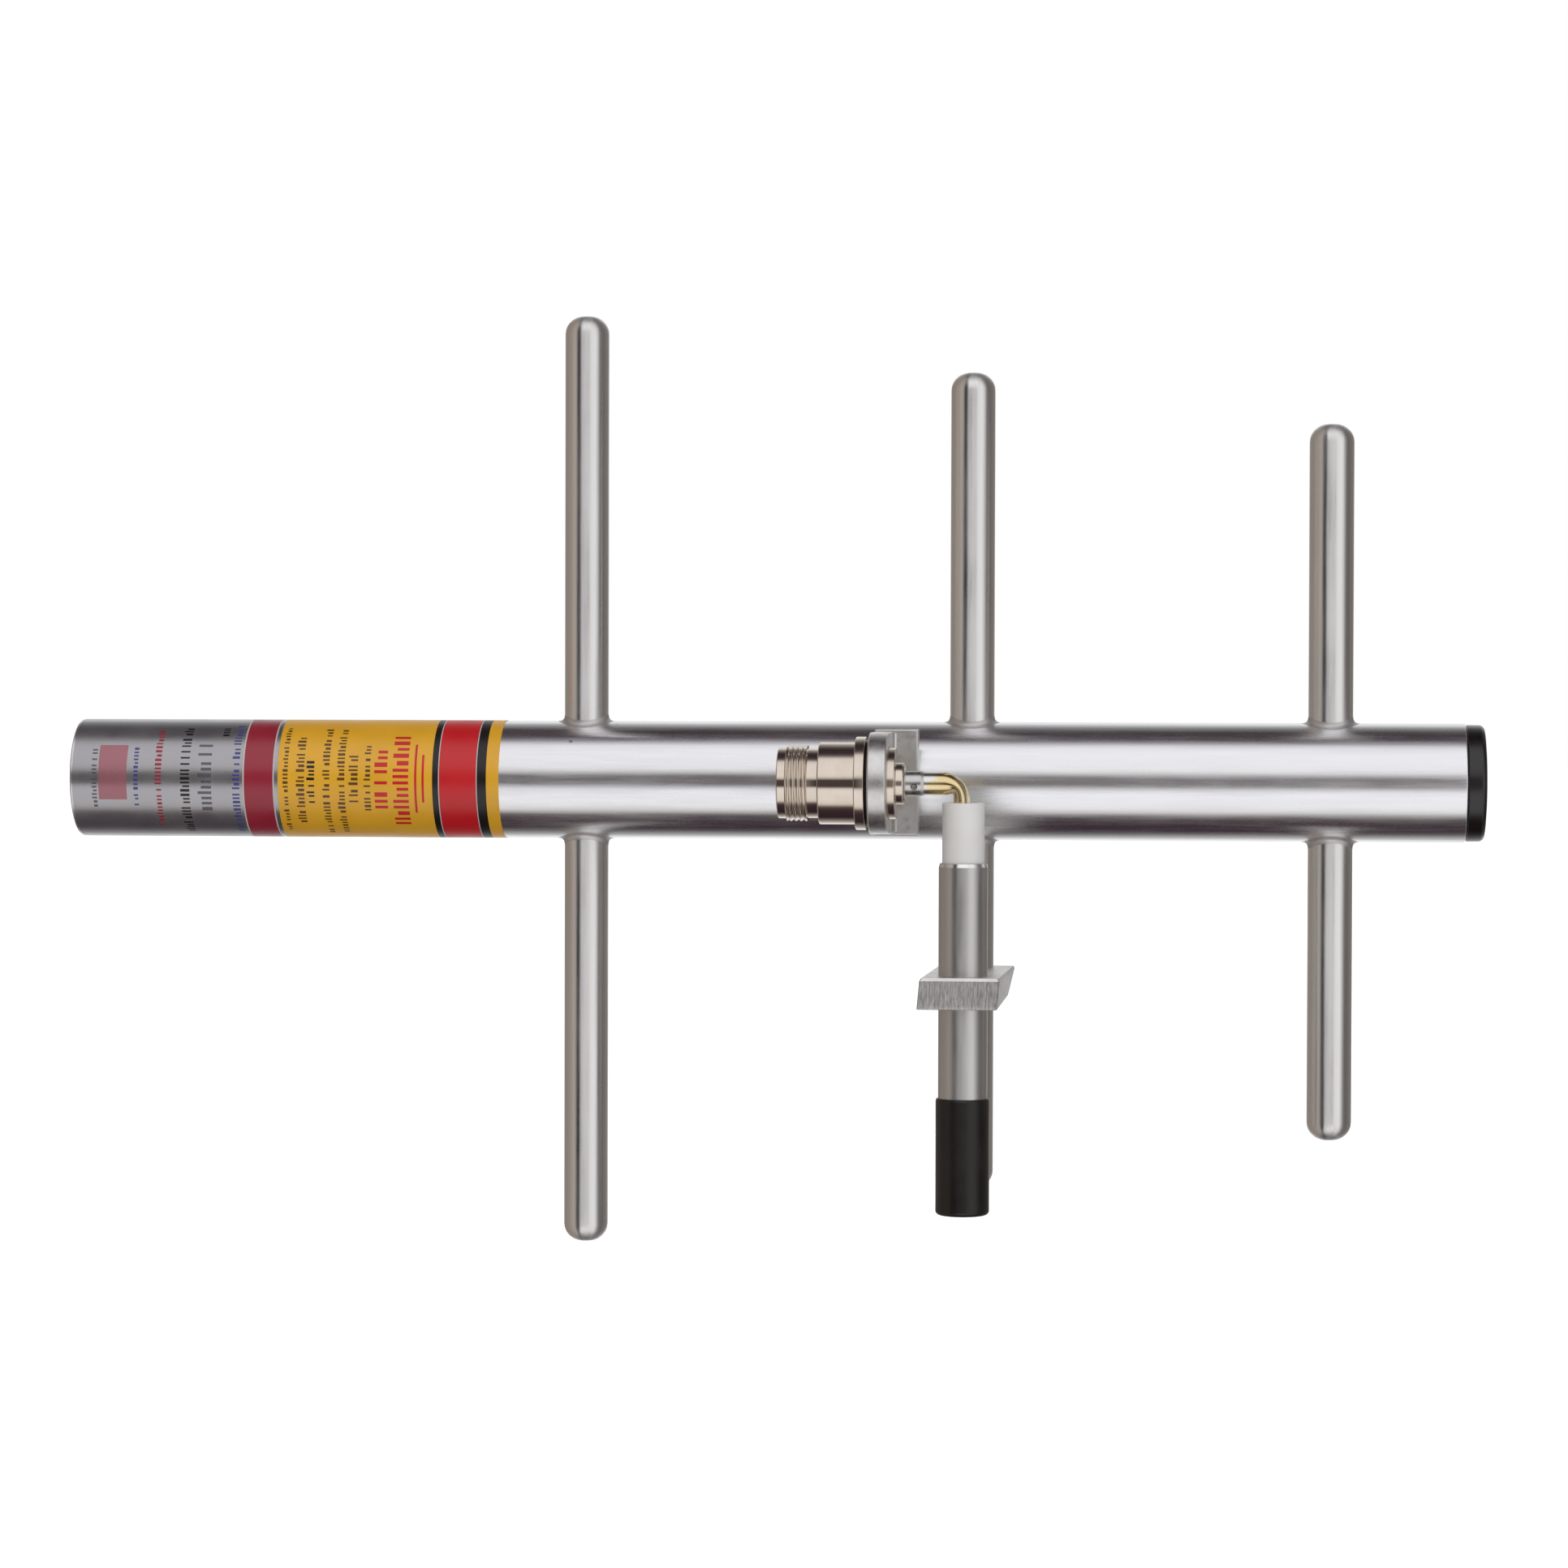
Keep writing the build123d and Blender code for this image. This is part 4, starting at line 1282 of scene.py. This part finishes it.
def sky():
    """A studio by direction: bright boards above and below the lens, darker sides, a white backdrop."""
    world = bpy.data.worlds.new("studio")
    bpy.context.scene.world = world
    world.use_nodes = True
    tree = world.node_tree
    tree.nodes.clear()
    link = tree.links.new

    def node(kind, *inputs, **settings):
        made = tree.nodes.new(kind)
        for key, value in settings.items():
            setattr(made, key, value)
        for k, value in enumerate(inputs):
            if isinstance(value, bpy.types.NodeSocket):
                link(value, made.inputs[k])
            elif value is not None:
                made.inputs[k].default_value = value
        return made

    def reckon(operation, *values):
        return node("ShaderNodeMath", *values, operation=operation).outputs[0]

    def rise(value, start, end, low=0.0, high=1.0):
        return node("ShaderNodeMapRange", value, start, end, low, high).outputs[0]

    def board(angle, stops):
        """Brightness by angle in degrees, from -180 to 180."""
        made = node("ShaderNodeValToRGB", angle)
        ramp = made.color_ramp
        while len(ramp.elements) < len(stops):
            ramp.elements.new(0.5)
        for element, (degrees, colour) in zip(ramp.elements, stops):
            element.position = (degrees + 180) / 360
            element.color = (*(colour if isinstance(colour, tuple) else (colour,) * 3), 1.0)
        return made.outputs[0]

    direction = node("ShaderNodeTexCoord").outputs["Generated"]
    axes = node("ShaderNodeSeparateXYZ", direction).outputs
    toward = reckon("MULTIPLY", axes[1], -1.0)

    def turn(value):
        """The angle of a direction from the lens's line, as a share of a whole turn."""
        return reckon("ADD", reckon("MULTIPLY", reckon("ARCTAN2", value, toward), 1 / TAU), 0.5)

    tall = board(turn(axes[2]), UPRIGHT_STOPS)
    gap = board(turn(axes[2]), [(-16, 0.0), (-9, 1.0), (9, 1.0), (16, 0.0)])
    glow = reckon("MULTIPLY", gap, rise(axes[0], -0.16, 0.01, -0.02, 0.12))
    lifted = node("ShaderNodeVectorMath", tall, glow, operation="ADD").outputs[0]
    wide = board(turn(axes[0]), SIDEWAYS_STOPS)
    slant = reckon("SUBTRACT", reckon("ABSOLUTE", axes[0]), reckon("ABSOLUTE", axes[2]))
    back = reckon("MULTIPLY", rise(slant, 0.02, 0.12), rise(axes[1], 0.0, 0.1))
    sides = reckon("ADD", rise(axes[0], -0.35, -0.45), rise(axes[0], 0.30, 0.46))
    sideways = reckon("MAXIMUM", sides, back)
    blend = tree.nodes.new("ShaderNodeMix")
    blend.data_type = "RGBA"
    link(sideways, blend.inputs[0])
    link(lifted, blend.inputs[6])
    link(wide, blend.inputs[7])
    seen = node("ShaderNodeBackground", (1.0, 1.0, 1.0, 1.0), 1.0)
    lit = node("ShaderNodeBackground", blend.outputs[2], 1.0)
    ray = node("ShaderNodeLightPath").outputs["Is Camera Ray"]
    chosen = node("ShaderNodeMixShader", ray, lit.outputs[0], seen.outputs[0])
    link(chosen.outputs[0], node("ShaderNodeOutputWorld").inputs[0])


sky()

soft_lamp = bpy.data.lights.new("overhead_softbox", "AREA")
soft_lamp.shape = "RECTANGLE"
soft_lamp.size, soft_lamp.size_y = 1.4, 1.0
soft_lamp.energy = 3.5
soft_box = bpy.data.objects.new("overhead_softbox", soft_lamp)
soft_box.location = (0.15, -1.0, 0.9)
soft_box.rotation_mode = "QUATERNION"
soft_box.rotation_quaternion = (Vector((0.15, 0, 0)) - soft_box.location).to_track_quat("-Z", "Y")
soft_box.visible_glossy = False
soft_box.visible_camera = False
bpy.context.scene.collection.objects.link(soft_box)

AIM = Vector((0.1543, 0.0, -0.0008))
DISTANCE = 0.95
FOCAL_LENGTH = 100.87
AZIMUTH, ELEVATION, ROLL = math.radians(5.3), math.radians(1.16), math.radians(0.15)
forward = Vector(
    (
        -math.sin(AZIMUTH) * math.cos(ELEVATION),
        math.cos(AZIMUTH) * math.cos(ELEVATION),
        -math.sin(ELEVATION),
    )
)
lens = bpy.data.cameras.new("camera")
lens.sensor_width = 36.0
lens.lens = FOCAL_LENGTH
lens.clip_start, lens.clip_end = 0.01, 50.0
camera = bpy.data.objects.new("camera", lens)
camera.location = AIM - forward * DISTANCE
camera.rotation_mode = "QUATERNION"
camera.rotation_quaternion = forward.to_track_quat("-Z", "Y") @ Quaternion((0, 0, 1), ROLL)
bpy.context.scene.collection.objects.link(camera)
bpy.context.scene.camera = camera
bpy.context.scene.view_settings.view_transform = "Standard"
